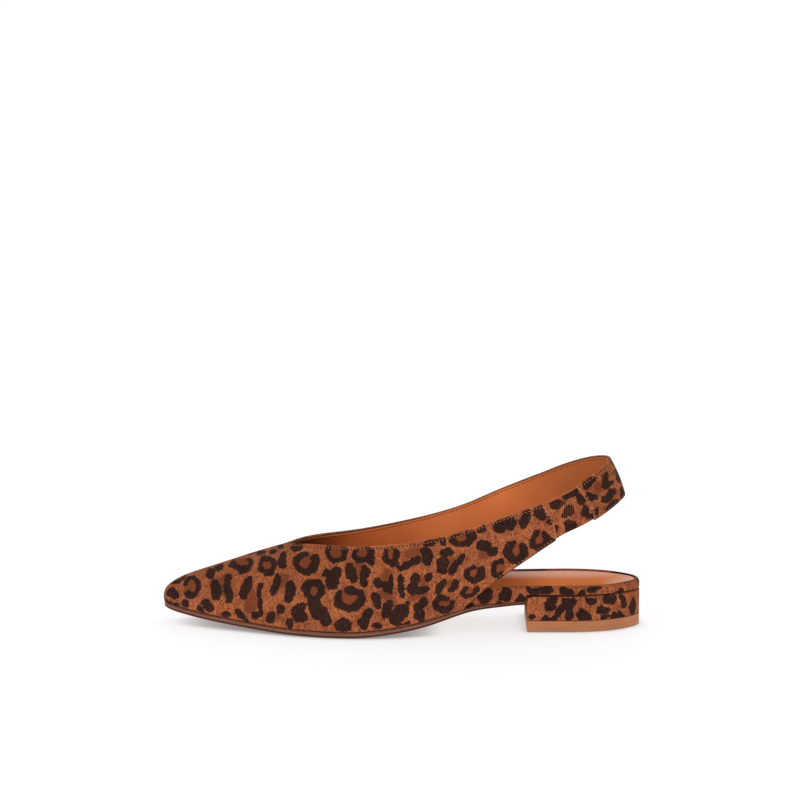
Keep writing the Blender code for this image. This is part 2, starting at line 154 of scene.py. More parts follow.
# The sole's outline behind the wings, round the heel
Rear = namedtuple("Rear", "x lateral medial rise seat")
REARPART = (
    Rear(178.0, -29.8, 24.8, 13.4, 24.2),
    Rear(190.0, -27.4, 24.2, 14.4, 25.3),
    Rear(200.6, -26.2, 24.8, 15.0, 25.3),
    Rear(216.0, -26.2, 25.9, 15.0, 25.3),
    Rear(232.0, -25.7, 25.7, 15.0, 25.3),
    Rear(246.0, -21.8, 21.8, 15.0, 25.3),
    Rear(256.0, -15.0, 15.0, 15.0, 25.3),
    Rear(262.2, -7.6, 7.6, 15.0, 25.3),
    Rear(264.0, 0.0, 0.0, 15.0, 25.3),
)
BREAST = EXIT + 3  # row of the heel's front face, where the outsole ends

# Wings and strap, from the exit to the back of the heel: lower edge, then upper edge
Wing = namedtuple(
    "Wing",
    "low_x low_lateral low_medial foot_lateral foot_medial "
    "top_x top_lateral top_medial crest_lateral crest_medial turn",
)
WINGS = (
    Wing(179.2, -32.6, 28.0, 26.0, 27.5, 176.5, -32.8, 29.8, 61.2, 64.8, 22),
    Wing(195.0, -32.0, 29.2, 37.4, 40.5, 191.0, -32.1, 30.2, 66.3, 71.0, 18),
    Wing(216.4, -31.2, 30.0, 51.9, 56.4, 209.1, -31.1, 30.1, 72.5, 78.2, 16),
    Wing(227.0, -29.7, 29.1, 57.2, 61.3, 218.0, -29.9, 29.1, 76.6, 82.0, 16),
    Wing(237.5, -25.9, 25.5, 62.0, 65.0, 226.9, -27.7, 27.2, 81.1, 85.6, 16),
    Wing(248.6, -16.3, 16.3, 67.9, 69.3, 239.6, -18.3, 18.3, 88.4, 90.3, 16),
    Wing(255.6, 0.0, 0.0, 71.8, 71.8, 247.0, 0.0, 0.0, 92.6, 92.6, 16),
)
WING_SEAM = EXIT + 3  # row where a wing ends
GUSSET_SEAM = EXIT + 5  # row where the gusset meets the back strap
BACK = EXIT + len(WINGS)  # row at the back of the heel
SEAM_ROWS = 0.012  # part of a row left open at the front of the heel, about 0.15 mm
HEEL_START = BREAST + 3 * SEAM_ROWS  # row of the heel block's front face
JOINT_ROWS = 0.004  # part of a row left open on each side of a strap joint
STRAP_STARTS = {"lateral": GUSSET_SEAM + JOINT_ROWS, "medial": WING_SEAM + JOINT_ROWS}

# Rows between which the outside furrow and the lining's band begin, and the stitch rows run
FURROW_START = (THROAT + 0.05, THROAT + 0.3)
BAND_START = (THROAT + 0.1, THROAT + 0.6)
TOP_START = THROAT + 0.14
FOOT_START = EXIT + 0.25
LINING_START = THROAT + 0.35
WING_STOP = WING_SEAM - 0.1
STRAP_ROWS = {"lateral": GUSSET_SEAM + 0.12, "medial": WING_SEAM + 0.1}

# Creases of the suede, as soft troughs between two places on the wall. Row and share say where;
# depth and width are in millimetres. The first three are the lasting pleats at the toe.
Crease = namedtuple("Crease", "side row share row_end share_end depth width")
CREASES = (
    Crease("lateral", 1.30, 0.14, 1.78, 0.0, 0.70, 0.45),
    Crease("lateral", 1.02, 0.09, 1.34, 0.0, 0.60, 0.40),
    Crease("medial", 1.20, 0.13, 1.70, 0.0, 0.70, 0.45),
    Crease("lateral", 5.6, 0.72, 6.5, 0.58, 0.25, 5.0),
    Crease("medial", 5.6, 0.74, 6.6, 0.60, 0.25, 5.0),
    Crease("lateral", 12.93, 0.15, 12.90, 0.85, 0.20, 1.4),
)
PLEATS = 3
CREASE_STEPS = 60  # places along a crease from which its distance is measured
CREASE_REACH = 3.0  # a crease does not act on points farther than this from the wall's outside
CREASE_END = 0.35  # part of its depth that a crease keeps at its ends

# Mesh counts and spacings
ROW_STEPS = 20
STRAP_ROW_STEPS = 16
LINING_ROW_STEPS = 12
SOLE_ROW_STEPS = 14
HEEL_ROW_STEPS = 56
MAIN_STRIPS = 52
STRAP_STRIPS = 22
GUSSET_STRIPS = 28
LINING_STRIPS = 22
DISH_STRIPS = 18
ROUND_STEPS = 4
RIM_STEPS = 8
PROFILE_SAMPLES = 1200
PRINT_SPACING = 0.8  # spacing of the points that carry the print, in millimetres
EDGE_STEPS = np.array((3.5, 2.9, 2.4, 2.0, 1.7, 1.4, 1.1, 0.7, 0.3, 0.0))  # columns below the topline
EDGE_SPACE = 0.8  # the lining's next column below these
FOOT_STEPS = np.array((0.0, 0.3, 0.6, 1.0, 1.5))  # columns above the lower edge
STEP = 0.01  # part of a row, or share, over which a slope is measured
OUTLINE_STEP = 0.001
WAY_STEP = 0.1  # millimetres along a stitch row over which its direction is measured

# Sides of the shoe, and the sign that makes their normals point outwards
SIDES = {"lateral": 1, "medial": -1}

# Camera: it sees the aim from the given elevation, and the aim lies at a pixel of the photograph
PHOTO_SIZE = 800
AIM = np.array((0.0, 0.0, 40.0))
AIM_PIXEL = (401.2, 552.1)
PX_PER_MM = 1.815  # at the aim
CAMERA_DISTANCE = 2200.0
CAMERA_ELEVATION = math.radians(11.2)
SENSOR = 36.0
CLIP_END = 100.0

# Studio light, in metres and watts
Light = namedtuple("Light", "name place size power")
LIGHTS = (
    Light("key", (-0.5, -1.8, 0.6), 1.2, 4.5),
    Light("back", (0.2, 0.9, 1.5), 1.4, 3.0),
)
LIGHT_AIM = (0, 0, 0.03)
FLOOR_REACH = 30.0
FLOOR_DROP = 0.0003  # floor below the sole
FLOOR_GLOW = 0.70
CONTACT_GLOW = 0.22  # glow of the floor where something nearly touches it
CONTACT_REACH = 0.008  # height up to which things dim the floor's glow
HORIZON_LIGHT = 1.0
ZENITH_LIGHT = 0.42
SKY_RANGE = (0.3, 0.9)  # heights of a direction between which the light falls off

# Chart of the print's dark marks, read one by one. A ring has its centre, the half axes of its stroke's
# middle line, the width of the stroke, the direction and span of its opening, and the turn of its axes. A
# spot is a filled ellipse, and a core an ellipse of the warmer brown between two marks.
Ring = namedtuple("Ring", "x y across down stroke opening span tilt", defaults=(0, 0, 0))
Spot = namedtuple("Spot", "x y across down tilt", defaults=(0,))
Core = namedtuple("Core", "x y across down tilt", defaults=(0,))
CHARTS = {
    "vamp_and_wings": (
        Spot(173.4, 593, 6.7, 5.5), Ring(191.3, 585.8, 6.9, 8.4, 5, 205, 70),
        Spot(184.6, 604.8, 3.5, 5.5, 20), Spot(207.5, 605.9, 4.5, 7, 25),
        Spot(200.8, 609.8, 2.8, 4.5, 40), Spot(215.8, 589.7, 5.3, 11, 8),
        Spot(228.1, 587.5, 4.3, 14, 5), Core(223.1, 585.8, 4.5, 9), Spot(210.8, 572.4, 5, 4.2),
        Spot(219.7, 567, 5, 3.2, 30), Ring(241.5, 562.9, 8.9, 5.6, 5.3, 95, 140),
        Ring(266.6, 564, 7.4, 6.8, 5), Spot(268.8, 572.4, 4.5, 3.5), Spot(259.9, 552.3, 4.3, 2, 15),
        Spot(272.2, 551.7, 3.3, 2.2, 15), Spot(281, 546.5, 3.5, 1.8, 20),
        Spot(282.2, 560.1, 3.5, 8.4, -5), Spot(297.3, 547.3, 6, 3.6, 15),
        Ring(305.1, 562.9, 9.5, 8.9, 6.7, 65, 60), Spot(275, 584.7, 4.3, 11.5, -12),
        Spot(290, 589.7, 5, 10.5, -10), Core(282.2, 581.9, 6.5, 7.5), Spot(245.4, 588.6, 4.5, 13, -18),
        Spot(259.6, 598.6, 2.2, 16.5, -1), Spot(256.6, 615.4, 5.3, 4.2), Core(250.4, 600.8, 6.5, 11.5),
        Spot(241.8, 614.2, 3.2, 9.5, 48), Spot(226.4, 614.8, 4.7, 2.6, -15),
        Spot(280.5, 609, 5, 6.5, 10), Spot(270, 617.6, 4, 6.5, -30), Core(277.2, 618.7, 4.5, 4),
        Spot(290, 622.6, 3.5, 4.5), Spot(299, 614.2, 6.5, 9.5, 5), Ring(313.5, 589.7, 7.6, 7.4, 7.6),
        Spot(315.7, 608.7, 7.5, 11.5, 25), Spot(325.1, 615.3, 5, 10.5, 12),
        Ring(335.3, 552.6, 8.2, 7.6, 5.8, 90, 130), Ring(362.9, 553, 7.7, 6.6, 5.6, 90, 130),
        Spot(370, 560.2, 2.8, 5), Spot(325.1, 572.4, 4, 4.5), Spot(335.8, 573.5, 4.8, 5),
        Spot(331.7, 580.1, 6.3, 9), Spot(351.1, 573, 5, 11.2, 20), Spot(363.9, 575.5, 4, 10.5, -5),
        Core(358.3, 569.4, 5, 8), Ring(348.1, 598.5, 10.7, 8.7, 7.5, 115, 65), Spot(343, 625, 9, 5.5),
        Spot(341.4, 620.4, 3, 3), Spot(365.9, 619.9, 5.8, 10, -28), Spot(378.2, 626, 4.8, 3, -20),
        Ring(389.4, 554.1, 5.4, 7.8, 5.8, 90, 110), Spot(426.1, 555.1, 6.5, 8.5, 15),
        Spot(411.8, 562.2, 9.5, 3.6, 20), Spot(403.7, 567.9, 5.5, 2.6, -5), Spot(399.1, 564.3, 1.6, 4),
        Core(410.8, 554.1, 9, 5.5), Spot(378, 582, 3.8, 5.5, 15), Spot(385.3, 586.2, 6.5, 3.6, -25),
        Spot(390.6, 579.6, 2.4, 7.5), Spot(390.4, 590.5, 2.2, 3.5), Core(385.3, 576.5, 4.5, 6.5),
        Spot(400.3, 585.7, 3.4, 11.5, 2), Spot(413.4, 584.7, 5, 10, -12),
        Spot(422.5, 589.6, 7, 3.2, 10), Spot(428.7, 577.6, 4.3, 5, -10), Core(423, 581.6, 4.5, 5),
        Spot(375.6, 602, 5, 9, 15), Spot(387.3, 608.7, 4, 8.5, -20), Core(385.3, 594.9, 8.5, 5, -35),
        Spot(398.6, 613.8, 6.5, 12, -45), Spot(420.5, 604.1, 4.5, 8, -40),
        Spot(409, 603.6, 1.8, 3.2, 15), Core(417, 596, 10, 3.5, 5), Spot(419, 615.8, 5.5, 6, -30),
        Spot(403.7, 623, 6.5, 1.8, 15), Ring(445, 604.1, 8.7, 6.1, 6, 40, 70),
        Spot(440.9, 585.7, 3.6, 8.8, -28), Spot(454.2, 583.7, 3.2, 5.5, -20),
        Spot(449.1, 588.8, 4, 2.8, 15), Core(447.6, 582.7, 3.5, 4.5), Spot(445.5, 553, 6.8, 4.2, 20),
        Spot(441.9, 565.3, 5.8, 7.3), Spot(457.8, 563.8, 3.8, 12.5, -35), Core(451.6, 560.2, 4.5, 4.5),
        Spot(431.2, 542.3, 6, 4), Spot(443.5, 541.3, 3.6, 4.5), Spot(437.3, 539.3, 5, 2),
        Ring(461.3, 537.8, 8.2, 6.1, 6, 95, 55), Spot(472.6, 535.2, 4.2, 4.8),
        Ring(474.4, 573.8, 7, 7.5, 6, 70, 80), Ring(468.9, 591.4, 7, 4.6, 5, 85, 80),
        Spot(483.5, 546.8, 8, 5.5, -10), Spot(493.2, 551.7, 4.7, 5), Core(483.5, 554.7, 5, 3.5),
        Spot(482.9, 529.8, 5, 3.7), Spot(498.6, 526.2, 5.5, 6), Spot(510.2, 522.6, 5.5, 6.5),
        Spot(525.3, 518.9, 5, 9.5, -20), Spot(539.8, 512.9, 4.3, 8.8, 15), Spot(550.8, 520.8, 3.8, 3.4),
        Spot(552.6, 540.2, 3.5, 3.4), Ring(499.2, 569.5, 5.5, 7, 5.5, 5, 130),
        Ring(516.8, 551.7, 8.5, 8.5, 7, 75, 75), Ring(538.6, 539.5, 7.5, 8.7, 5.8, 65, 65, -20),
    ),
    "back_strap": (
        Spot(588.9, 481.4, 5.2, 7.2, -30), Spot(591.4, 496.5, 6.3, 3.8, -10),
        Spot(604.7, 478.3, 3.8, 6.5), Spot(606.8, 486, 5, 3.5), Spot(612.6, 482.6, 3.3, 2.8),
        Core(598, 487, 4, 6), Spot(610.2, 496.5, 3.5, 9.3, -45), Spot(618, 475.3, 2.2, 6.5, 18),
        Spot(622.9, 492.3, 2.5, 6, 12), Spot(595.6, 512.9, 3.3, 3.5), Spot(612.6, 507, 9, 3.8, 38),
    ),
    "gusset_panel": (
        Spot(555.6, 529.8, 2, 4.2), Spot(556.2, 503.8, 8, 4.5, 5), Spot(572.5, 492.8, 10.5, 5, 30),
        Spot(579.8, 498.9, 3.5, 6), Spot(568.3, 511.7, 4.5, 7.5, -40), Spot(584.1, 510.5, 5, 6, -30),
        Spot(570.8, 526.8, 7, 6, -20), Spot(590.8, 517.1, 3.8, 3.3),
    ),
    "seat_cover": (
        Spot(484.1, 595, 7.5, 8.5, -25), Spot(505.3, 593.8, 6, 7), Spot(532.6, 589.5, 4.8, 3.2),
        Spot(544.7, 590.8, 10, 3.5, 5), Spot(565.3, 591.4, 7.3, 3.8), Spot(596.2, 588.9, 7.5, 2.3, 8),
        Spot(633.2, 578, 3, 5), Spot(530, 568.4, 14, 2.2), Spot(616, 572.4, 11, 2.2, -12),
    ),
    "covered_heel": (
        Spot(551.4, 603.5, 5.7, 7, 5), Spot(568.3, 602.9, 7, 7), Spot(561.5, 608.5, 4.5, 4),
        Spot(556.8, 614.4, 4, 8.5, -45), Spot(569.5, 614.4, 4, 6), Spot(531.4, 617.4, 3.8, 3),
        Spot(584.1, 615.6, 7.5, 6, -20), Spot(590.8, 599.8, 6, 3.5, -10), Spot(608.9, 599.2, 6.5, 5),
        Spot(602.3, 610.2, 7.8, 3.6, -10), Spot(623.5, 601.1, 2.8, 7.3, 12),
        Spot(632.6, 605.9, 3.5, 9.5, -8), Spot(605.3, 617.4, 5, 2),
    ),
}
FIRST_SEED = 11  # of the first chart's hidden sides; each chart after it has the next number
PRINT_REACH = 24.0  # a mark is worked out this far round its centre, in millimetres
PRINT_CLEAR = 30.0  # distance to the nearest mark where there is none
PRINT_SPACE = 1.3  # ground left round a mark on the sides that the photograph hides
PRINT_CROWD = 0.8  # part of its size that such a mark keeps clear of others
PRINT_TRIES = 6000
RING_TRIES = 1500  # of these, the first ones set rings alone
PRINT_FULLNESS = 2.6  # 2 makes a spot a plain ellipse, more makes it squarer
PRINT_MERGE = 0.6  # marks nearer than this run together, in millimetres
PRINT_GROW = 0.14  # growth of every mark, in millimetres
WANDERS = ((6.5, 1.4), (2.6, 0.7))  # length and size of the waves that bend the outlines
SWELL_LENGTH = 4.5  # length of the waves that thicken and thin the strokes
SWELL_SIZE = 0.9
WANDER_SEED = 5
FACING = 0.15  # a surface that faces the camera less than this is hidden from the chart
STEEPEST = 0.4  # most that a mark's height is stretched where the surface leans away
NEAR_AXIS = 0.8  # a normal with a longer part along the shoe than this needs another helper
TINY = 1e-6  # keeps a division from failing
SHORTEST = 1e-9  # shortest length by which a vector is divided

# Noises of the materials: waves per metre, detail and stretch
DRIFT = (90, 4.0)
NAP = (1250, 3.0, (1.0, 1.0, 0.55))
FIBRE = (2600, 2.0, (1.0, 1.0, 0.4))
RAGGED = (800, 4.0)
STREAK = (430, 2.0, (1.0, 1.0, 0.4))
LEATHER_TONE = (38, 3.0)
GRAIN = (1500, 2.0)
EDGE_LINES = (90, 3.0, (1.0, 1.0, 26.0))
BRUSHED = (240, 3.0, (0.25, 1.0, 1.0))
LIFT_LINES = (110, 3.0, (0.6, 0.6, 9.0))
SPECK = (1400, 2.0)
TWIST = (3200, 1.0)
FLOOR_TONE = (30, 2.0)

# Ranges through which the noises and the stored numbers are read, and the values that they give
MIDDLING = (0.3, 0.7)
NAP_RANGE = (0.36, 0.58)
TIP_RANGE = (0.48, 0.74, 0.0, 0.75)
STREAK_RANGE = (0.34, 0.66)
CORE_RANGE = (0.2, 2.6, 0.88, 0.0)
MARK_RANGE = (0.68, 1.36, 0.97, 0.0)
MARK_TIPS = (0.45, 0.78)
HIGHLIGHT_RANGE = (0.38, 0.58, 0.15, 0.75)
BACK_RANGE = (0.0, 1.0, 0.0, 0.8)
RIB_RANGE = (0.68, 1.0, 0.0, 0.5)
UNDER_RANGE = (0.6, 0.95)
LIFT_RANGE = (0.25, 0.75, -0.05, 0.65)
LEATHER_RANGE = (0.3, 0.7, -0.1, 0.7)
CORE_RAGGED = 2.6  # how far the core's edge wanders, in millimetres
MARK_RAGGED = 2.0  # and a mark's
NAP_RELIEF = 0.8
GRAIN_SHARE = 0.25
SPECK_SHARE = 0.35
RIBS = 255  # ribs of the elastic, in waves per metre
RIB_WANDER = 2.4

# Finishes: roughness, shine, and the strength and the depth in metres of the relief
SUEDE_FINISH = (0.95, 0.05, 0.5, 0.0003)
SOLE_FINISH = (0.52, 0.12, 0.15, 0.0002)
LIFT_FINISH = (0.55, 0.2, 0.12, 0.0001)
THREAD_FINISH = (0.7, 0.1, 0.3, 0.0001)
LEATHER_RELIEF = (0.03, 0.00005)
FLOOR_FINISH = {"Roughness": 0.7, "Specular IOR Level": 0.1}
SHEEN = {"Sheen Weight": 0.05, "Sheen Roughness": 0.5, "Sheen Tint": (1.0, 0.66, 0.42, 1.0)}

# Colours
WHITE = (1.0, 1.0, 1.0, 1.0)
GROUND = (0.385, 0.112, 0.044)
GROUND_DEEP = (0.190, 0.049, 0.020)
GROUND_PALE = (0.66, 0.235, 0.105)
CORE_BROWN = (0.195, 0.047, 0.021)
MARK_BROWN = (0.0225, 0.0095, 0.0082)
MARK_PALE = (0.062, 0.035, 0.031)
# painted shade in the crevice along the sole, in the pleats and in the heel's groove; along the free lower
# edges partly the dark cut edge and partly painted shadow
SHADE_AND_CUT_EDGE_BROWN = (0.045, 0.016, 0.010)
BACK_BROWN = (0.24, 0.082, 0.042)
TONES = ((0.86, 0.83, 0.86), (1.10, 1.08, 0.98))
REAR_SHADE = 0.91  # painted shade: the strap's, the rim's and the heel's suede made darker than the vamp's
STREAKS = ((0.86, 0.83, 0.82), (1.14, 1.14, 1.12))
SOLE_COLOURS = ((0.181, 0.073, 0.048), (0.258, 0.114, 0.077))
# dark lower edge of the outsole: burnished leather with painted contact shadow
BURNISH_AND_SHADE_BROWN = (0.070, 0.016, 0.008)
UNDER_COLOURS = ((0.25, 0.115, 0.066), (0.295, 0.14, 0.081))
LIFT_COLOURS = ((0.395, 0.146, 0.060), (0.50, 0.196, 0.084))
FLOOR_COLOURS = ((0.41, 0.41, 0.41), (0.43, 0.43, 0.43))
THREADS = {
    "tan_thread": ((0.34, 0.105, 0.044), (0.56, 0.20, 0.088)),
    "lining_thread": ((0.52, 0.21, 0.085), (0.74, 0.36, 0.17)),
    # the needle holes' colours are painted shade
    "needle_hole_shade": ((0.015, 0.008, 0.006), (0.035, 0.016, 0.010)),
    "lining_needle_hole_shade": ((0.10, 0.020, 0.006), (0.16, 0.035, 0.010)),
}

# Finished leathers: front is the range, in metres along the shoe, over which the front tone ends; the
# front and back tones are painted shade. A one-sided leather shines only on the inner half of the shoe and
# round its back.
Leather = namedtuple("Leather", "deep colour roughness shine front front_tone back_tone one_sided")
# the lining's front tone is painted shade inside the toe box, and its back tone painted shade towards the
# heel
LINING_LEATHER = Leather(
    (0.70, 0.192, 0.053), (0.80, 0.237, 0.068), 0.5, 0.14, (-0.062, -0.02), 0.14, 0.60, False
)
# the sock's front tone is painted shadow of the wings over its front
SOCK_LEATHER = Leather(
    (0.76, 0.225, 0.068), (0.84, 0.262, 0.082), 0.36, 0.9, (0.052, 0.086), 0.5, 1.0, True
)
BACK_SHADE = (0.05, 0.1)  # places between which the back tone begins, in metres
SHINE_SIDE = (0.003, 0.019)  # the shine of a one-sided leather grows towards the inner side
SHINE_BACK = (0.105, 0.125)  # and towards the back
SHINE_POWER = 4.0  # how slowly it starts
ROUGHNESS_SPREAD = (-0.04, 0.05)

# Where the ribs of the elastic wear through the print, and how far round it, in metres
WORN_PLACE = (0.092, -0.027, 0.068)
WORN_REACH = (0.006, 0.010)

seed_set(WANDER_SEED)


# Curves
def column(rows, name):
    """One named column of a table."""
    return [getattr(row, name) for row in rows]


def spline(values, flat_start=False, flat_end=False):
    """Cubic spline through values set at 0, 1, 2 and so on; a flat end has no slope."""
    values = np.array(values, float)
    count = len(values)
    system = np.eye(count)
    right = np.zeros(count)
    for i in range(1, count - 1):
        system[i, i - 1 : i + 2] = (1, 4, 1)
        right[i] = 6 * (values[i + 1] - 2 * values[i] + values[i - 1])
    if flat_start:
        system[0, :2] = (2, 1)
        right[0] = 6 * (values[1] - values[0])
    if flat_end:
        system[-1, -2:] = (1, 2)
        right[-1] = -6 * (values[-1] - values[-2])
    bend = np.linalg.solve(system, right)

    def at(row):
        first = np.clip(np.floor(row).astype(int), 0, count - 2)
        after = row - first
        before = 1 - after
        straight = before * values[first] + after * values[first + 1]
        curved = (before**3 - before) * bend[first] + (after**3 - after) * bend[first + 1]
        return straight + curved / 6

    return at


def smooth_step(value, start, end):
    """0 before start, 1 after end, smooth between."""
    share = np.clip((value - start) / (end - start), 0.0, 1.0)
    return share * share * (3 - 2 * share)


def bell(distance, width):
    """1 at no distance, falling off smoothly over a width."""
    return np.exp(-((distance / width) ** 2))


def unit(vector):
    """Vector of length one in the same direction; works along the last axis."""
    return vector / np.maximum(np.linalg.norm(vector, axis=-1, keepdims=True), SHORTEST)


# Outline and profile of the sole
SOLE_ROWS = FOREPART + REARPART
LAST_ROW = len(SOLE_ROWS) - 1
SOLE_X = spline(column(SOLE_ROWS, "x"), True, True)
SOLE_Y = {side: spline(column(SOLE_ROWS, side)) for side in SIDES}
SAMPLE_ROWS = np.linspace(0, LAST_ROW, PROFILE_SAMPLES)
SAMPLE_X = SOLE_X(SAMPLE_ROWS)
SAMPLE_RISE = np.maximum(spline(column(SOLE_ROWS, "rise"), True, True)(SAMPLE_ROWS), 0.0)
SAMPLE_SEAT = spline(column(SOLE_ROWS, "seat"), True, True)(SAMPLE_ROWS)


def rise_at(x):
    """Height of the sole's underside at a station; the tread is flat where the table says zero."""
    on_tread = (TREAD[0] <= x) & (x <= TREAD[1])
    return np.where(on_tread, 0.0, np.interp(x, SAMPLE_X, SAMPLE_RISE))


def sole_at(x):
    """Thickness of the outsole at a station; it thins through the waist."""
    return SOLE + (SOLE_WAIST - SOLE) * smooth_step(x, *SKIVE_RANGE)


def sole_top(x):
    """Height at which the pieces that lie on the outsole begin."""
    return rise_at(x) + sole_at(x) + GAP


def seat_at(x):
    """Height of the insole board's rim at a station."""
    return np.interp(x, SAMPLE_X, SAMPLE_SEAT)


def outline(row, side, inset=0.0):
    """Point of the sole's outline in plan, moved inwards by the inset."""
    start = min(max(row - OUTLINE_STEP, 0.0), LAST_ROW - 2 * OUTLINE_STEP)
    end = start + 2 * OUTLINE_STEP
    at_an_end = row in (0, LAST_ROW)
    along_x = 0.0 if at_an_end else SOLE_X(end) - SOLE_X(start)
    along_y = SOLE_Y[side](end) - SOLE_Y[side](start)
    length = math.hypot(along_x, along_y)
    x = SOLE_X(row) - SIDES[side] * inset * along_y / length
    y = SOLE_Y[side](row) + SIDES[side] * inset * along_x / length
    return np.array((x, y))


# Guide curves of the upper and the strap, as x, y and height; at the back x and height end flat
UPPER_ROWS = FOREPART + WINGS
TURN = spline(column(UPPER_ROWS, "turn"), False, True)
FLAT_ENDS = (True, False, True)
RIDGE = {}
TOPLINE = {}
LOWER = {}
for side in SIDES:
    tops = ("top_x", "top_" + side, "crest_" + side)
    lows = ("low_x", "low_" + side, "foot_" + side)
    exit_row = FOREPART[EXIT]
    exit_foot = exit_row.rise + sole_at(exit_row.x) + GAP
    starts = (exit_row.x, getattr(exit_row, side), exit_foot)
    RIDGE[side] = [spline(column(FOREPART[: THROAT + 1], name), True) for name in tops]
    TOPLINE[side] = [
        spline(column(UPPER_ROWS[THROAT:], name), False, flat) for name, flat in zip(tops, FLAT_ENDS)
    ]
    LOWER[side] = [
        spline([start] + column(WINGS, name), False, flat)
        for start, name, flat in zip(starts, lows, FLAT_ENDS)
    ]


def lower_edge(row, side):
    """Feather edge on the sole, then the free lower edge of the wing and strap."""
    if row > EXIT:
        return np.array([guide(row - EXIT) for guide in LOWER[side]])
    x, y = outline(row, side)
    return np.array((x, y, sole_top(x)))


def upper_edge(row, side):
    """Ridge of the vamp up to the throat, then the topline."""
    if row > THROAT:
        return np.array([guide(row - THROAT) for guide in TOPLINE[side]])
    return np.array([guide(row) for guide in RIDGE[side]])


def wall_points(row, shares, side):
    """Points on the outside of the wall; shares run from its lower edge to its upper edge."""
    shares = np.atleast_1d(shares)
    low = lower_edge(row, side)
    top = upper_edge(row, side)
    turn = math.radians(TURN(row))
    bow = 1 - (1 - STRAP_BOW) * smooth_step(row, WING_SEAM, BACK)
    bend = (1 - np.cos(turn * shares)) / (1 - math.cos(turn))
    inwards = shares + bow * (bend - shares)
    upwards = np.sin(turn * shares) / math.sin(turn)
    points = low + (top - low) * np.column_stack((inwards, inwards, upwards))
    outwards = low[:2] - top[:2]
    reach = max(np.linalg.norm(outwards), NARROW)
    swell = FULLNESS * math.sin(turn) * np.sin(math.pi * shares)
    points[:, :2] += np.outer(swell, outwards / reach)
    return points


def wall_normal(row, share, side):
    """Direction that points out of the wall at one place."""
    along = wall_points(row + STEP, share, side)[0] - wall_points(row - STEP, share, side)[0]
    low, high = wall_points(row, [share - STEP, share + STEP], side)
    return unit(SIDES[side] * np.cross(along, high - low))


def share_inside(row, side, distance, from_top=True):
    """Share of the place that lies a distance inside the upper or the lower edge."""
    edge, inwards = (1.0, -1) if from_top else (0.0, 1)
    here, inside = wall_points(row, [edge, edge + inwards * STEP], side)
    across = (here - inside) / STEP
    square = np.linalg.norm(across)
    if row > THROAT:
        along = wall_points(row + STEP, edge, side)[0] - here
        square = np.linalg.norm(np.cross(unit(along), across))
    return edge + inwards * distance / square


def rows_between(start, end, steps):
    """Rows from start to end, through every even step between them."""
    first = math.floor(start * steps) + 1
    last = math.ceil(end * steps)
    return [start] + [k / steps for k in range(first, last)] + [end]


def grid_normals(points, side):
    """Directions that point out of a grid of wall points."""
    along = np.gradient(points, axis=0)
    across = np.gradient(points, axis=1)
    return unit(SIDES[side] * np.cross(along, across))


def pressed_grid(side, lines, depths):
    """Grid from lines of wall points, pressed inwards by one depth or by a depth for each point."""
    points = np.array(lines)
    return points - grid_normals(points, side) * np.array(depths)[..., None]


def crease_distance(points, crease):
    """Distance of points from a crease, measured along the wall, and their places along it."""
    nearest = np.full(points.shape[:-1], np.inf)
    places = np.zeros(points.shape[:-1])
    for place in np.linspace(0, 1, CREASE_STEPS):
        row = crease.row + (crease.row_end - crease.row) * place
        share = crease.share + (crease.share_end - crease.share) * place
        offset = points - wall_points(row, share, crease.side)[0]
        normal = wall_normal(row, share, crease.side)
        height = offset @ normal
        away = np.linalg.norm(offset - height[..., None] * normal, axis=-1)
        away[np.abs(height) > CREASE_REACH] = np.inf
        places[away < nearest] = place
        nearest = np.minimum(nearest, away)
    return nearest, places


def press_creases(points, side):
    """Press the creases of one side into a grid of wall points."""
    normals = grid_normals(points, side)
    for crease in CREASES:
        if crease.side != side:
            continue
        away, place = crease_distance(points, crease)
        taper = CREASE_END + (1 - CREASE_END) * np.sin(math.pi * place)
        depth = crease.depth * taper * bell(away, crease.width)
        depth[0] = 0.0
        points -= normals * depth[..., None]
    return points


def wall_grid(side, start, end, steps, strips):
    """Outside of one side of the wall, turned in at the sole and furrowed by its topline stitches."""
    tuck = FEATHER_TUCK * bell(FOOT_STEPS, FEATHER_REACH)
    furrow = GROOVE_DEPTH * bell(EDGE_STEPS - TOP_ROW, GROOVE_WIDTH)
    lines = []
    depths = []
    for row in rows_between(start, end, steps):
        foot_shares = share_inside(row, side, FOOT_STEPS, False)
        edge_shares = share_inside(row, side, EDGE_STEPS)
        main_shares = np.linspace(foot_shares[-1], edge_shares[0], strips + 2)[1:-1]
        lines.append(wall_points(row, [*foot_shares, *main_shares, *edge_shares], side))
        on_sole = smooth_step(row, *FEATHER_START) * (1 - smooth_step(row, EXIT - FEATHER_STOP, EXIT))
        open_edge = smooth_step(row, *FURROW_START)
        depths.append([*(tuck * on_sole), *np.zeros(strips), *(furrow * open_edge)])
    return press_creases(pressed_grid(side, lines, depths), side)


# Blender helpers
def to_frame(points):
    """Millimetres of the tables to metres of the shoe's own frame."""
    return (np.asarray(points) - MIDDLE) * MM


def add_object(name, data):
    """New object in the scene."""
    item = bpy.data.objects.new(name, data)
    bpy.context.scene.collection.objects.link(item)
    return item


def add_piece(name, data, material, stands_for=None):
    """Object for one piece, carried by the shoe's only body."""
    data.materials.append(material)
    data.shade_smooth()
    item = add_object(name, data)
    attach(item, "root")
    if stands_for:
        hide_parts(stands_for)
    return item


def mesh_from(name, points, faces):
    """Mesh in the shoe's frame, with points that coincide welded."""
    data = bpy.data.meshes.new(name)
    data.from_pydata([tuple(point) for point in to_frame(points)], [], faces)
    work = bmesh.new()
    work.from_mesh(data)
    bmesh.ops.remove_doubles(work, verts=work.verts, dist=WELD)
    bmesh.ops.dissolve_degenerate(work, edges=work.edges, dist=WELD / 10)
    work.to_mesh(data)
    work.free()
    return data


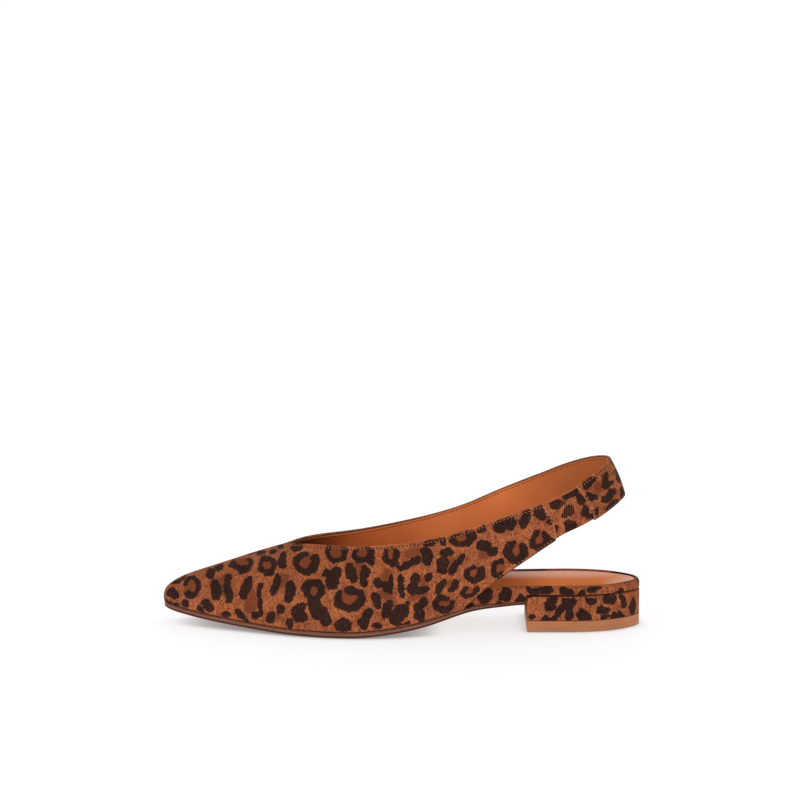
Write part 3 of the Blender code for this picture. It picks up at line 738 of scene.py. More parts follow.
def table_points(data):
    """Points of a mesh in the millimetres of the tables."""
    points = np.empty(len(data.vertices) * 3)
    data.vertices.foreach_get("co", points)
    return points.reshape(-1, 3) / MM + MIDDLE


def store(data, name, values):
    """Store one number for each point of a mesh."""
    data.attributes.new(name, "FLOAT", "POINT").data.foreach_set("value", values)


def panel_mesh(name, panels):
    """Open surface from the sides' grids of points; panels that touch are joined along their edges."""
    points = []
    faces = []
    for side, grid in panels:
        rows, columns = grid.shape[:2]
        first = len(points)
        points += list(grid.reshape(-1, 3))
        for i in range(rows - 1):
            for k in range(columns - 1):
                corner = first + i * columns + k
                face = (corner, corner + columns, corner + columns + 1, corner + 1)
                faces.append(face[:: SIDES[side]])
    return mesh_from(name, points, faces)


def tube_faces(first, rings, count, caps=(True, True)):
    """Faces of a tube through rings of points, numbered from first, and its caps."""
    faces = []
    last = first + (rings - 1) * count
    for here in range(first, last, count):
        following = here + count
        for k in range(count):
            after = (k + 1) % count
            faces.append((here + k, here + after, following + after, following + k))
    if caps[0]:
        faces.append(tuple(range(first, first + count))[::-1])
    if caps[1]:
        faces.append(tuple(range(last, last + count)))
    return faces


def loft_mesh(name, rings):
    """Closed solid through rings of equally many points; a ring with no width needs no cap."""
    points = [point for ring in rings for point in ring]
    caps = [np.ptp(ring[:, 1]) > GAP for ring in (rings[0], rings[-1])]
    return mesh_from(name, points, tube_faces(0, len(rings), len(rings[0]), caps))


def add_wall(item, thickness, rounding):
    """Give an open surface its thickness, inwards from the outside, and round its edges.

    The points of the inside are told from those of the outside by the number "inner"."""
    wall = item.modifiers.new("wall", "SOLIDIFY")
    wall.thickness = thickness * MM
    wall.offset = -1.0
    wall.use_even_offset = True
    outside = len(item.data.vertices)
    graph = bpy.context.evaluated_depsgraph_get()
    shell = bpy.data.meshes.new_from_object(item.evaluated_get(graph))
    item.modifiers.clear()
    item.data = shell
    inner = np.arange(len(shell.vertices)) >= outside
    store(shell, "inner", inner.astype(float))
    fold = item.modifiers.new("fold", "BEVEL")
    fold.limit_method = "ANGLE"
    fold.angle_limit = math.radians(FOLD_ANGLE)
    fold.width = rounding * MM
    fold.segments = FOLD_SEGMENTS


# Camera geometry, which also seats the print
FOCAL_PX = PX_PER_MM * CAMERA_DISTANCE
FRAME_DROP = math.atan((AIM_PIXEL[1] - PHOTO_SIZE / 2) / FOCAL_PX)
CAMERA_PITCH = CAMERA_ELEVATION - FRAME_DROP
LENS_PX = FOCAL_PX * math.cos(FRAME_DROP)
aside = (AIM_PIXEL[0] - PHOTO_SIZE / 2) / PX_PER_MM
back_off = CAMERA_DISTANCE * math.cos(CAMERA_ELEVATION)
EYE = AIM + np.array((-aside, -back_off, CAMERA_DISTANCE * math.sin(CAMERA_ELEVATION)))
FORWARD = np.array((0.0, math.cos(CAMERA_PITCH), -math.sin(CAMERA_PITCH)))
RIGHT = np.array((1.0, 0.0, 0.0))
UP = np.cross(RIGHT, FORWARD)


def photo_pixels(points):
    """Pixels of the photograph at which points of the shoe's frame, in millimetres, show."""
    sight = points - EYE
    depth = sight @ FORWARD
    half = PHOTO_SIZE / 2
    return np.column_stack(
        (half + LENS_PX * (sight @ RIGHT) / depth, half - LENS_PX * (sight @ UP) / depth)
    )


# The print
def ellipse_distance(u, v, across, down, power=2.0):
    """Distance from the edge of an ellipse, negative inside; a higher power makes it squarer."""
    far_u = np.abs(u / across)
    far_v = np.abs(v / down)
    reach = np.maximum((far_u**power + far_v**power) ** (1 / power), TINY)
    slope = np.hypot(far_u ** (power - 1) / across, far_v ** (power - 1) / down) / reach ** (power - 1)
    return np.maximum((reach - 1) / np.maximum(slope, TINY), -min(across, down))


def ring_distance(u, v, mark):
    """Distance from the edge of a ring's stroke, negative inside the stroke."""
    middle = np.abs(ellipse_distance(u, v, mark.across, mark.down))
    if mark.span:
        angle = np.arctan2(v / mark.down, u / mark.across)
        opening = math.radians(mark.opening - mark.tilt)
        half = math.radians(mark.span) / 2
        away = np.abs((angle - opening + math.pi) % (2 * math.pi) - math.pi)
        ends = []
        for end in (opening - half, opening + half):
            ends.append(np.hypot(u - mark.across * math.cos(end), v - mark.down * math.sin(end)))
        middle = np.where(away < half, np.minimum(*ends), middle)
    return middle - mark.stroke / 2


def merged(first, second):
    """Smaller of two distances, smoothed where they are alike, so that near marks run together."""
    alike = np.maximum(PRINT_MERGE - np.abs(first - second), 0) / PRINT_MERGE
    return np.minimum(first, second) - alike**2 * PRINT_MERGE / 4


def wandering(points):
    """Points shifted by smooth waves, which make the outlines of the marks irregular."""
    shifted = points.copy()
    for length, size in WANDERS:
        shifted += size * np.array([noise_vector(Vector(point)) for point in points / length])
    return shifted


def mark_size(mark):
    """Outer radius of a mark, in millimetres."""
    stroke = mark.stroke / 2 if isinstance(mark, Ring) else 0.0
    return (max(mark.across, mark.down) + stroke) / PX_PER_MM


def seat_mark(mark, points, normals, facing, pixels):
    """Place of a charted mark: the nearest point that shows, and the two ways across and up."""
    miss = np.hypot(pixels[:, 0] - mark.x, pixels[:, 1] - mark.y)
    nearest = np.argmin(np.where(facing > FACING, miss, np.inf))
    normal = normals[nearest]
    across = unit(RIGHT - (RIGHT @ normal) * normal)
    up = np.cross(normal, across)
    lean = np.array(((across @ RIGHT, up @ RIGHT), (across @ UP, max(up @ UP, STEEPEST))))
    return points[nearest], normal, across, up, lean


def scatter_marks(chart, seats, points, normals, facing, seed):
    """Marks of the chart's own forms for the sides that the photograph hides."""
    pick = random.Random(seed)
    spots = [mark for mark in chart if isinstance(mark, Spot)]
    rings = [mark for mark in chart if isinstance(mark, Ring)]
    taken = [seat[0] for _, seat in seats]
    sizes = [mark_size(mark) for mark, _ in seats]
    hidden = np.flatnonzero(facing <= FACING)
    placed = []
    for attempt in range(PRINT_TRIES if len(hidden) else 0):
        mark = pick.choice(rings if rings and attempt < RING_TRIES else spots)
        spot = int(hidden[pick.randrange(len(hidden))])
        angle = pick.uniform(0, 2 * math.pi)
        size = mark_size(mark)
        away = np.linalg.norm(np.array(taken) - points[spot], axis=1)
        if (away < np.array(sizes) * PRINT_CROWD + size * PRINT_CROWD + PRINT_SPACE).any():
            continue
        taken.append(points[spot])
        sizes.append(size)
        normal = normals[spot]
        helper = RIGHT if abs(normal[0]) < NEAR_AXIS else UP
        first = unit(np.cross(normal, helper))
        second = np.cross(normal, first)
        across = math.cos(angle) * first + math.sin(angle) * second
        seat = (points[spot], normal, across, np.cross(normal, across), np.eye(2))
        placed.append((mark, seat))
    return placed


def print_marks(data, name):
    """Store how far each point of a mesh lies from a dark mark and from a core, in millimetres."""
    chart = CHARTS[name]
    seed = FIRST_SEED + list(CHARTS).index(name)
    count = len(data.vertices)
    points = to_frame(table_points(data)) / MM
    normals = np.empty(count * 3)
    data.vertex_normals.foreach_get("vector", normals)
    normals = normals.reshape(-1, 3)
    facing = np.sum(unit(EYE - points) * normals, axis=1)
    pixels = photo_pixels(points)
    seats = [(mark, seat_mark(mark, points, normals, facing, pixels)) for mark in chart]
    seats += scatter_marks(chart, seats, points, normals, facing, seed)
    dark = np.full(count, PRINT_CLEAR)
    core = np.full(count, PRINT_CLEAR)
    bent = wandering(points)
    for mark, (origin, normal, across, up, lean) in seats:
        offset = bent - origin
        length = np.linalg.norm(offset, axis=1)
        near = np.flatnonzero((length < PRINT_REACH) & (normals @ normal > 0))
        flat = np.column_stack((offset[near] @ across, offset[near] @ up))
        unrolled = unit(flat) * length[near, None]
        u, v = (unrolled @ lean.T * PX_PER_MM).T
        turn = math.radians(mark.tilt)
        u, v = u * math.cos(turn) + v * math.sin(turn), v * math.cos(turn) - u * math.sin(turn)
        inner = ellipse_distance(u, v, mark.across, mark.down, PRINT_FULLNESS) / PX_PER_MM
        if isinstance(mark, Spot):
            dark[near] = merged(dark[near], inner)
            continue
        if isinstance(mark, Ring):
            dark[near] = merged(dark[near], ring_distance(u, v, mark) / PX_PER_MM)
        core[near] = np.minimum(core[near], inner)
    swell = np.array([lump(Vector(point)) for point in points / SWELL_LENGTH])
    store(data, "mark", dark + (SWELL_SIZE * swell - PRINT_GROW))
    store(data, "core", core)


# Materials
class Paint:
    """Shader nodes of a material, or of the surroundings."""

    def __init__(self, block, shader="Principled BSDF"):
        block.use_nodes = True
        self.block = block
        self.tree = block.node_tree
        self.shader = self.tree.nodes[shader]
        self.place = self.add("TexCoord").outputs
        self.where = self.place["Object"]

    def fill(self, node, values):
        """Set the sockets of a node to values, or link outputs to them."""
        for socket, value in values.items():
            if isinstance(value, bpy.types.NodeSocket):
                self.tree.links.new(value, node.inputs[socket])
            else:
                node.inputs[socket].default_value = value

    def add(self, kind, values=None, **settings):
        """New node with its settings and the values of its sockets."""
        node = self.tree.nodes.new("ShaderNode" + kind)
        for name, setting in settings.items():
            setattr(node, name, setting)
        self.fill(node, values or {})
        return node

    def noise(self, scale, detail, stretch=None):
        """Noise between 0 and 1 on the object; its scale is in waves per metre."""
        where = self.where
        if stretch:
            where = self.add("Mapping", {"Vector": where, "Scale": stretch}).outputs["Vector"]
        return self.add("TexNoise", {"Vector": where, "Scale": scale, "Detail": detail}).outputs["Fac"]

    def calculate(self, operation, first, second):
        """Result of one operation on two values."""
        return self.add("Math", {0: first, 1: second}, operation=operation).outputs["Value"]

    def plus(self, first, second):
        """Sum of two values."""
        return self.calculate("ADD", first, second)

    def times(self, first, second):
        """Product of two values."""
        return self.calculate("MULTIPLY", first, second)

    def remap(self, value, low, high, to_low=0.0, to_high=1.0):
        """Value carried smoothly from one range to another."""
        ranges = {"From Min": low, "From Max": high, "To Min": to_low, "To Max": to_high}
        values = {"Value": value, **ranges}
        return self.add("MapRange", values, interpolation_type="SMOOTHSTEP").outputs["Result"]

    def blend(self, share, first, second, mode="MIX"):
        """Two colours blended by a share."""
        values = {0: share}
        for socket, colour in ((6, first), (7, second)):
            values[socket] = colour if isinstance(colour, bpy.types.NodeSocket) else (*colour, 1.0)
        return self.add("Mix", values, data_type="RGBA", blend_type=mode).outputs[2]

    def attribute(self, name):
        """Number stored on the mesh."""
        return self.add("Attribute", attribute_name=name).outputs["Fac"]

    def split(self, where):
        """Three parts of a place or a direction."""
        return self.add("SeparateXYZ", {"Vector": where}).outputs

    def finish(self, colour, height, roughness, shine, strength, distance):
        """Set the shader's sockets, with a small relief; its distance is in metres."""
        values = {"Base Color": colour, "Roughness": roughness, "Specular IOR Level": shine}
        relief = {"Height": height, "Strength": strength, "Distance": distance}
        values["Normal"] = self.add("Bump", relief).outputs["Normal"]
        self.fill(self.shader, values)
        return self.block


def printed_suede(name, dim=1.0, ribs=0.0):
    """Short-napped suede with the leopard print; dim darkens it all as painted shade, and ribs is the
    waves per metre of an elastic.
    """
    paint = Paint(bpy.data.materials.new(name))
    drift, nap, fibre, ragged, streak = (
        paint.noise(*look) for look in (DRIFT, NAP, FIBRE, RAGGED, STREAK)
    )
    ground = paint.blend(paint.remap(nap, *NAP_RANGE), GROUND_DEEP, GROUND)
    ground = paint.blend(paint.remap(fibre, *TIP_RANGE), ground, GROUND_PALE)
    brushed = paint.blend(paint.remap(streak, *STREAK_RANGE), *STREAKS)
    ground = paint.blend(1.0, ground, brushed, "MULTIPLY")
    core = paint.plus(paint.attribute("core"), paint.times(ragged, CORE_RAGGED))
    core_colour = paint.blend(nap, CORE_BROWN, GROUND_DEEP)
    colour = paint.blend(paint.remap(core, *CORE_RANGE), ground, core_colour)
    edge = paint.plus(paint.attribute("mark"), paint.times(ragged, MARK_RAGGED))
    dark = paint.blend(paint.remap(fibre, *MARK_TIPS), MARK_BROWN, MARK_PALE)
    height = paint.plus(fibre, paint.times(nap, NAP_RELIEF))
    if ribs:
        ribbing = {"Vector": paint.where, "Scale": ribs, "Distortion": RIB_WANDER}
        wave = paint.add("TexWave", ribbing, bands_direction="X").outputs["Fac"]
        apart = paint.add("VectorMath", {0: paint.where, 1: WORN_PLACE}, operation="DISTANCE")
        worn = paint.times(wave, paint.remap(apart.outputs["Value"], *WORN_REACH, 1.0, 0.0))
        dark = paint.blend(paint.remap(worn, *RIB_RANGE), dark, GROUND)
        height = paint.plus(height, wave)
    colour = paint.blend(paint.remap(edge, *MARK_RANGE), colour, dark)
    # random tone, darkened all over by dim as painted shade
    low, high = (tuple(dim * part for part in shade) for shade in TONES)
    tone = paint.blend(paint.remap(drift, *MIDDLING), low, high)
    colour = paint.blend(1.0, colour, tone, "MULTIPLY")
    # painted highlight along the folded ends and the topline
    painted_highlight = paint.times(paint.attribute("ridge"), paint.remap(ragged, *HIGHLIGHT_RANGE))
    colour = paint.blend(painted_highlight, colour, GROUND_PALE)
    colour = paint.blend(paint.remap(paint.attribute("inner"), *BACK_RANGE), colour, BACK_BROWN)
    # painted shade along the sole, in the pleats and in the heel's groove, and along the free lower edges
    # the dark cut edge with painted shadow
    colour = paint.blend(paint.attribute("shade_and_cut_edge"), colour, SHADE_AND_CUT_EDGE_BROWN)
    paint.fill(paint.shader, SHEEN)
    return paint.finish(colour, height, *SUEDE_FINISH)


def smooth_leather(name, look):
    """Finished leather with fine pores, darkened by painted shade in front of a range and at the back."""
    paint = Paint(bpy.data.materials.new(name))
    tone = paint.noise(*LEATHER_TONE)
    grain = paint.noise(*GRAIN)
    share = paint.plus(paint.remap(tone, *LEATHER_RANGE), paint.times(grain, GRAIN_SHARE))
    along, side, _ = paint.split(paint.where)
    shade = paint.remap(along, *look.front, look.front_tone, 1.0)
    shade = paint.times(shade, paint.remap(along, *BACK_SHADE, 1.0, look.back_tone))
    grey = paint.add("CombineColor", {0: shade, 1: shade, 2: shade}).outputs["Color"]
    colour = paint.blend(1.0, paint.blend(share, look.deep, look.colour), grey, "MULTIPLY")
    spread = (look.roughness + part for part in ROUGHNESS_SPREAD)
    shine = look.shine
    if look.one_sided:
        place = paint.calculate("MAXIMUM", paint.remap(side, *SHINE_SIDE), paint.remap(along, *SHINE_BACK))
        shine = paint.times(paint.calculate("POWER", place, SHINE_POWER), shine)
    roughness = paint.remap(grain, *MIDDLING, *spread)
    return paint.finish(colour, grain, roughness, shine, *LEATHER_RELIEF)


def sole_leather(name):
    """Trimmed leather with a dark lower edge, partly burnished and partly painted shadow of the floor
    contact, fine lines along it and a paler, brushed underside.
    """
    paint = Paint(bpy.data.materials.new(name))
    lines = paint.noise(*EDGE_LINES)
    brushed = paint.noise(*BRUSHED)
    edge = paint.blend(paint.remap(lines, *MIDDLING), *SOLE_COLOURS)
    # dark lower edge: burnished leather with painted contact shadow
    edge = paint.blend(paint.remap(paint.attribute("level"), *BURNISH_AND_SHADE), BURNISH_AND_SHADE_BROWN, edge)
    under = paint.blend(paint.remap(brushed, *MIDDLING), *UNDER_COLOURS)
    upwards = paint.split(paint.place["Normal"])["Z"]
    downwards = paint.remap(paint.times(upwards, -1.0), *UNDER_RANGE)
    return paint.finish(paint.blend(downwards, edge, under), lines, *SOLE_FINISH)


def stacked_lift(name):
    """Plain composition lift with faint level lines."""
    paint = Paint(bpy.data.materials.new(name))
    lines = paint.noise(*LIFT_LINES)
    speck = paint.noise(*SPECK)
    tone = paint.plus(paint.remap(lines, *LIFT_RANGE), paint.times(speck, SPECK_SHARE))
    return paint.finish(paint.blend(tone, *LIFT_COLOURS), speck, *LIFT_FINISH)


def thread(name):
    """Twisted sewing thread, or the painted shade of its needle holes."""
    paint = Paint(bpy.data.materials.new(name))
    twist = paint.noise(*TWIST)
    return paint.finish(paint.blend(twist, *THREADS[name]), twist, *THREAD_FINISH)


# Pieces of the upper
def near_lines(points, lines, width):
    """Strength with which points lie on lines; each line comes with its own strength."""
    values = np.zeros(len(points))
    for line, strength in lines:
        away = np.linalg.norm(points[:, None] - line, axis=2).min(axis=1)
        values = np.maximum(values, strength * np.clip(2 - away / width, 0, 1))
    return values


def mark_feather(data):
    """Store the suede's dark lines: painted shade where it meets the sole and in the pleats, and along its
    free edge partly its dark cut edge and partly painted shadow.
    """
    points = table_points(data)
    x, _, z = points.T
    on_sole = 1 - smooth_step(z - sole_top(x), 0.0, FEATHER_LINE)
    rows = rows_between(EXIT + LOW_START, BACK, ROW_STEPS)
    free = [(np.array([lower_edge(row, side) for row in rows]), LOW_DARK) for side in SIDES]
    values = np.where(x < FOREPART[EXIT].x, on_sole, 0.0)
    for crease in CREASES[:PLEATS]:
        values = np.maximum(values, bell(crease_distance(points, crease)[0], crease.width))
    store(data, "shade_and_cut_edge", np.maximum(values, near_lines(points, free, LOW_LINE)))


def mark_ridge(data, ends):
    """Store how near each point lies to a folded end or to the topline, which get a painted highlight."""
    shares = np.linspace(0, 1, 2 * STRAP_STRIPS)
    rows = rows_between(THROAT, BACK, LINING_ROW_STEPS)
    lines = [(wall_points(row, shares, side), 1.0) for side, row in ends.items()]
    lines += [(np.array([upper_edge(row, side) for row in rows]), TOP_LINE) for side in SIDES]
    store(data, "ridge", near_lines(table_points(data), lines, END_LINE))


def mark_groove(data):
    """Store the painted shade line of the groove between the rim and the heel."""
    x, _, z = table_points(data).T
    front, back = GROOVE_DARK
    near = 1 - smooth_step(np.abs(z - HEEL_TOP - GAP / 2), GROOVE_RISE / 2, GROOVE_LINE)
    strength = front + (back - front) * smooth_step(x, *GROOVE_FADE)
    store(data, "shade_and_cut_edge", np.where(x > SOLE_ROWS[BREAST].x, strength * near, 0.0))


def suede_mesh(name, spans, ends, steps, strips):
    """Printed suede of both sides, each between two rows, with folded ends."""
    data = panel_mesh(name, [(side, wall_grid(side, *spans[side], steps, strips)) for side in SIDES])
    mark_feather(data)
    mark_ridge(data, ends)
    return data


def upper_mesh(name):
    """Vamp and both wings."""
    ends = {side: WING_SEAM - JOINT_ROWS for side in SIDES}
    spans = {side: (0, end) for side, end in ends.items()}
    return suede_mesh(name, spans, ends, ROW_STEPS, MAIN_STRIPS)


def strap_mesh(name):
    """Back strap from the gusset round the heel to the inner wing."""
    spans = {side: (start, BACK) for side, start in STRAP_STARTS.items()}
    return suede_mesh(name, spans, STRAP_STARTS, STRAP_ROW_STEPS, STRAP_STRIPS)


def gusset_mesh(name):
    """Covered elastic between the outer wing and the strap, a little narrower and lower."""
    shares = np.linspace(GUSSET_MARGIN, 1 - GUSSET_MARGIN, GUSSET_STRIPS)
    rows = rows_between(WING_SEAM - GUSSET_TUCK, GUSSET_SEAM + GUSSET_TUCK, STRAP_ROW_STEPS)
    lines = [wall_points(row, shares, "lateral") for row in rows]
    return panel_mesh(name, [("lateral", pressed_grid("lateral", lines, GUSSET_RECESS))])


def lining_mesh(name):
    """Lining of the upper and strap, with a swelling band above its stitch row."""
    edge_steps = LINING_EDGE + EDGE_STEPS
    above = np.clip(1 - (edge_steps - LINING_ROW / 2) ** 2 / (LINING_ROW / 2) ** 2, 0, 1)
    swell = BAND_SWELL * np.sqrt(above) - GROOVE_DEPTH * bell(edge_steps - LINING_ROW, GROOVE_WIDTH)
    panels = []
    for side in SIDES:
        lines = []
        depths = []
        for row in rows_between(1, BACK, LINING_ROW_STEPS):
            low = share_inside(row, side, LINING_EDGE, False)
            main_end = share_inside(row, side, edge_steps[0] + EDGE_SPACE)
            edge_shares = share_inside(row, side, edge_steps)
            shares = [*np.linspace(low, main_end, LINING_STRIPS), *edge_shares]
            lines.append(wall_points(row, shares, side))
            band = swell * smooth_step(row, *BAND_START)
            depths.append(SUEDE + np.concatenate((np.zeros(LINING_STRIPS), band)))
        panels.append((side, pressed_grid(side, lines, depths)))
    return panel_mesh(name, panels)


# Pieces of the bottom
def rounded_corner(inset, drop=None):
    """Insets and drops along a quarter round, from its upright end to its level end."""
    drop = inset if drop is None else drop
    angles = np.linspace(0, math.pi / 2, ROUND_STEPS + 1)
    return [(inset * (1 - math.cos(a)), drop * (1 - math.sin(a))) for a in angles]


def outsole_mesh(name):
    """Thin leather sole from the toe tip to the heel breast."""
    rings = []
    for row in rows_between(0, BREAST, SOLE_ROW_STEPS):
        ring = []
        for side in SIDES:
            points = []
            for inset, height in rounded_corner(SOLE_EDGE)[::-1]:
                x, y = outline(row, side, GAP + inset)
                points.append((x, y, rise_at(x) + height))
            x, y = outline(row, side, GAP)
            points.append((x, y, rise_at(x) + sole_at(x) / 2))
            points.append((x, y, rise_at(x) + sole_at(x)))
            ring += points[:: -SIDES[side]]
        rings.append(np.array(ring))
    data = loft_mesh(name, rings)
    x, _, z = table_points(data).T
    store(data, "level", z - rise_at(x))
    return data


def board_inset(x):
    """How far the board's edge lies inside the outline: clear of the upper, then nearly flush."""
    return BOARD_CLEARANCE + (GAP - BOARD_CLEARANCE) * smooth_step(x, *BOARD_FREE)


def dish(x, share):
    """Hollow of the seat at a share of the width, measured down from the rim."""
    depth = SEAT_DISH * smooth_step(x, *DISH_RANGE)
    sock_end = LENGTH - RIM_WIDTH - 2 * GAP
    back = smooth_step(sock_end - x, 0, DISH_END)
    return depth * back * math.sin(math.pi * share) ** 2


def recess(x):
    """Depth of the board's floor below its rim, which only the open seat has."""
    return (SOCK + GAP + RIM_STAND) * smooth_step(x, *BOARD_FREE)


def board_half(row, side, behind_breast):
    """One side of the board's section, from the groove below its rim to the edge of its hollow."""
    inset = board_inset(SOLE_X(row))
    edge = outline(row, side, inset)
    low = HEEL_TOP + GAP if behind_breast else sole_top(edge[0])
    radius = min(BOARD_EDGE, BOARD_EDGE_SHARE * (seat_at(edge[0]) - low))
    undercut = min(GROOVE_RISE, radius / 2)
    half = []
    for inwards, drop in rounded_corner(GROOVE_INSET, undercut)[::-1]:
        half.append((*outline(row, side, inset + inwards), low + drop))
    for height in np.linspace(low + undercut, seat_at(edge[0]) - radius, RIM_STEPS)[1:-1]:
        half.append((*edge, height))
    for inwards, drop in rounded_corner(radius):
        place = outline(row, side, inset + inwards)
        half.append((*place, seat_at(place[0]) - drop))
    floor = outline(row, side, inset + RIM_WIDTH)
    half.append((*floor, seat_at(floor[0])))
    half.append((*floor, seat_at(floor[0]) - recess(floor[0])))
    return [np.array(point) for point in half]


def board_ring(row, behind_breast):
    """Section of the wrapped board, which lies one step higher on the heel block."""
    lateral, medial = (board_half(row, side, behind_breast) for side in SIDES)
    start = lateral[-1]
    end = medial[-1]
    across = []
    for share in np.linspace(0, 1, DISH_STRIPS + 1)[1:-1]:
        point = start + (end - start) * share
        point[2] -= dish(point[0], share)
        across.append(point)
    return np.array(medial + across[::-1] + lateral[::-1])


def board_mesh(name):
    """Printed cover of the insole board, whose rim shows round the heel seat and waist."""
    front = rows_between(0, BREAST - SEAM_ROWS, SOLE_ROW_STEPS)
    back = rows_between(BREAST + SEAM_ROWS, LAST_ROW, SOLE_ROW_STEPS)
    data = loft_mesh(name, [board_ring(row, row > BREAST) for row in front + back])
    mark_groove(data)
    return data


def sock_mesh(name):
    """Dished sock lining with a rounded edge, in the board's hollow."""
    rings = []
    for row in rows_between(0, LAST_ROW, SOLE_ROW_STEPS):
        inset = board_inset(SOLE_X(row)) + RIM_WIDTH + GAP
        start, end = (outline(row, side, inset) for side in SIDES)
        width = max(np.linalg.norm(end - start), TINY)
        lower = []
        upper = []
        for share in np.linspace(0, 1, DISH_STRIPS + 1):
            x, y = start + (end - start) * share
            bottom = seat_at(x) - recess(x) + GAP - dish(x, share)
            near_edge = min(share, 1 - share) * width
            drop = SOCK_ROUND * max(1 - near_edge / (2 * SOCK_ROUND), 0) ** 2
            lower.append((x, y, bottom))
            upper.append((x, y, bottom + SOCK - drop))
        rings.append(np.array(lower + upper[::-1]))
    return loft_mesh(name, rings)


def heel_outline(inset):
    """Outline of the heel with its flat front face, in even steps of the print's spacing."""
    rows = rows_between(HEEL_START, LAST_ROW, HEEL_ROW_STEPS)
    lateral = [outline(row, "lateral", inset) for row in rows]
    medial = [outline(row, "medial", inset) for row in rows[-2::-1]]
    front = SOLE_X(rows[0]) + inset - GAP
    start = np.array((front, medial[-1][1]))
    end = np.array((front, lateral[0][1]))
    steps = round(np.linalg.norm(end - start) / PRINT_SPACING)
    breast = [start + (end - start) * k / steps for k in range(1, steps)]
    return lateral + medial + breast


def heel_layer(name, bottom, top, foot, shoulder, shoulder_inset):
    """Layer of the heel between two heights, rounded along its foot and its shoulder."""
    levels = [(inset, bottom + height) for inset, height in rounded_corner(foot)[::-1]]
    steps = round((top - bottom) / PRINT_SPACING)
    heights = np.linspace(bottom + foot, top - shoulder, steps)
    levels += [(0.0, height) for height in heights[1:-1]]
    levels += [(inset, top - height) for inset, height in rounded_corner(shoulder_inset, shoulder)]
    rings = []
    for inset, height in levels:
        rings.append(np.array([(x, y, height) for x, y in heel_outline(GAP + inset)]))
    return loft_mesh(name, rings)


def heel_mesh(name):
    """Covered heel block."""
    data = heel_layer(name, LIFT + GAP, HEEL_TOP, HEEL_ROUND, GROOVE_RISE, GROOVE_INSET)
    mark_groove(data)
    return data


def lift_mesh(name):
    """Plain lift under the heel block."""
    return heel_layer(name, 0.0, LIFT, LIFT_ROUND, LIFT_ROUND, LIFT_ROUND)


# Stitches
def even_path(points, normals):
    """Places at an even pitch along a path: point, direction and normal."""
    steps = np.linalg.norm(np.diff(points, axis=0), axis=1)
    along = np.concatenate(([0.0], np.cumsum(steps)))
    count = int(along[-1] / STITCH_PITCH)
    marks = (np.arange(count) + 0.5) * along[-1] / max(count, 1)

    def at(values, place):
        return np.column_stack([np.interp(place, along, values[:, k]) for k in range(3)])

    ways = unit(at(points, marks + WAY_STEP) - at(points, marks - WAY_STEP))
    return zip(at(points, marks), ways, unit(at(normals, marks)))


def wall_path(side, places, depth=0.0):
    """Points and normals at rows and shares of the wall, depth below its outside."""
    normals = np.array([wall_normal(row, share, side) for row, share in places])
    points = np.array([wall_points(row, share, side)[0] for row, share in places])
    return points - depth * normals, normals


def edge_path(side, start, end, distance, from_top=True, depth=0.0):
    """Path a distance inside the topline or the lower edge, depth below the wall's outside."""
    rows = rows_between(start, end, ROW_STEPS)
    return wall_path(side, [(row, share_inside(row, side, distance, from_top)) for row in rows], depth)


def seam_path(side, row, distance):
    """Path across the strap, a distance beside a seam."""
    places = []
    for share in np.linspace(*SEAM_SHARES, STRAP_STRIPS):
        ahead, behind = (wall_points(row + step, share, side)[0] for step in (STEP, -STEP))
        along = (ahead - behind) / (2 * STEP)
        places.append((row + distance / np.linalg.norm(along), share))
    return wall_path(side, places)


def add_bead(points, faces, middle, way, normal, length, radius, rise):
    """Add one small rounded rod to lists of points and faces; rise is its half height."""
    across = np.cross(way, normal)
    faces += tube_faces(len(points), len(BEAD), BEAD_SIDES)
    for place, width in BEAD:
        for k in range(BEAD_SIDES):
            angle = 2 * math.pi * k / BEAD_SIDES
            out = math.cos(angle) * radius * across + math.sin(angle) * rise * normal
            points.append(middle + way * place * length + out * width)


def make_stitches(place, paths, thread_name, hole_name, hole_size, inwards=1.0):
    """Thread, and dark rods of painted shade at the needle holes, along paths; inwards is -1 on the
    lining's side of the wall.
    """
    stitches = ([], [])
    holes = ([], [])
    for points, normals in paths:
        for middle, way, normal in even_path(points, normals):
            normal = normal * inwards
            raised = middle + normal * (STITCH_RADIUS * STITCH_STAND - GROOVE_DEPTH)
            add_bead(*stitches, raised, way, normal, STITCH_LENGTH, STITCH_RADIUS, STITCH_RADIUS)
            # dark rod as painted shade of the needle hole
            hole = middle + way * STITCH_PITCH / 2 - normal * GROOVE_DEPTH
            add_bead(*holes, hole, way, normal, hole_size[0], HOLE_RADIUS, hole_size[1])
    for name, shape, look in (("_stitches", stitches, thread_name), ("_holes", holes, hole_name)):
        add_piece(place + name, mesh_from(place + name, *shape), thread(look))


def make_all_stitches():
    """Stitch rows along the edges and seams, outside and inside."""
    outside = []
    inside = []
    for side in SIDES:
        outside.append(edge_path(side, TOP_START, WING_STOP, TOP_ROW))
        outside.append(edge_path(side, FOOT_START, WING_STOP, LOW_ROW, False))
        outside.append(edge_path(side, STRAP_ROWS[side], BACK, TOP_ROW))
        outside.append(edge_path(side, STRAP_ROWS[side], BACK, LOW_ROW, False))
        inside.append(edge_path(side, LINING_START, BACK, LINING_ROW, True, SUEDE + LINING))
    outside.append(seam_path("lateral", WING_SEAM, -SEAM_ROW))
    outside.append(seam_path("lateral", GUSSET_SEAM, SEAM_ROW))
    outside.append(seam_path("medial", WING_SEAM, -SEAM_ROW))
    make_stitches("outside", outside, "tan_thread", "needle_hole_shade", OUTSIDE_HOLE)
    make_stitches("lining", inside, "lining_thread", "lining_needle_hole_shade", LINING_HOLE, -1.0)


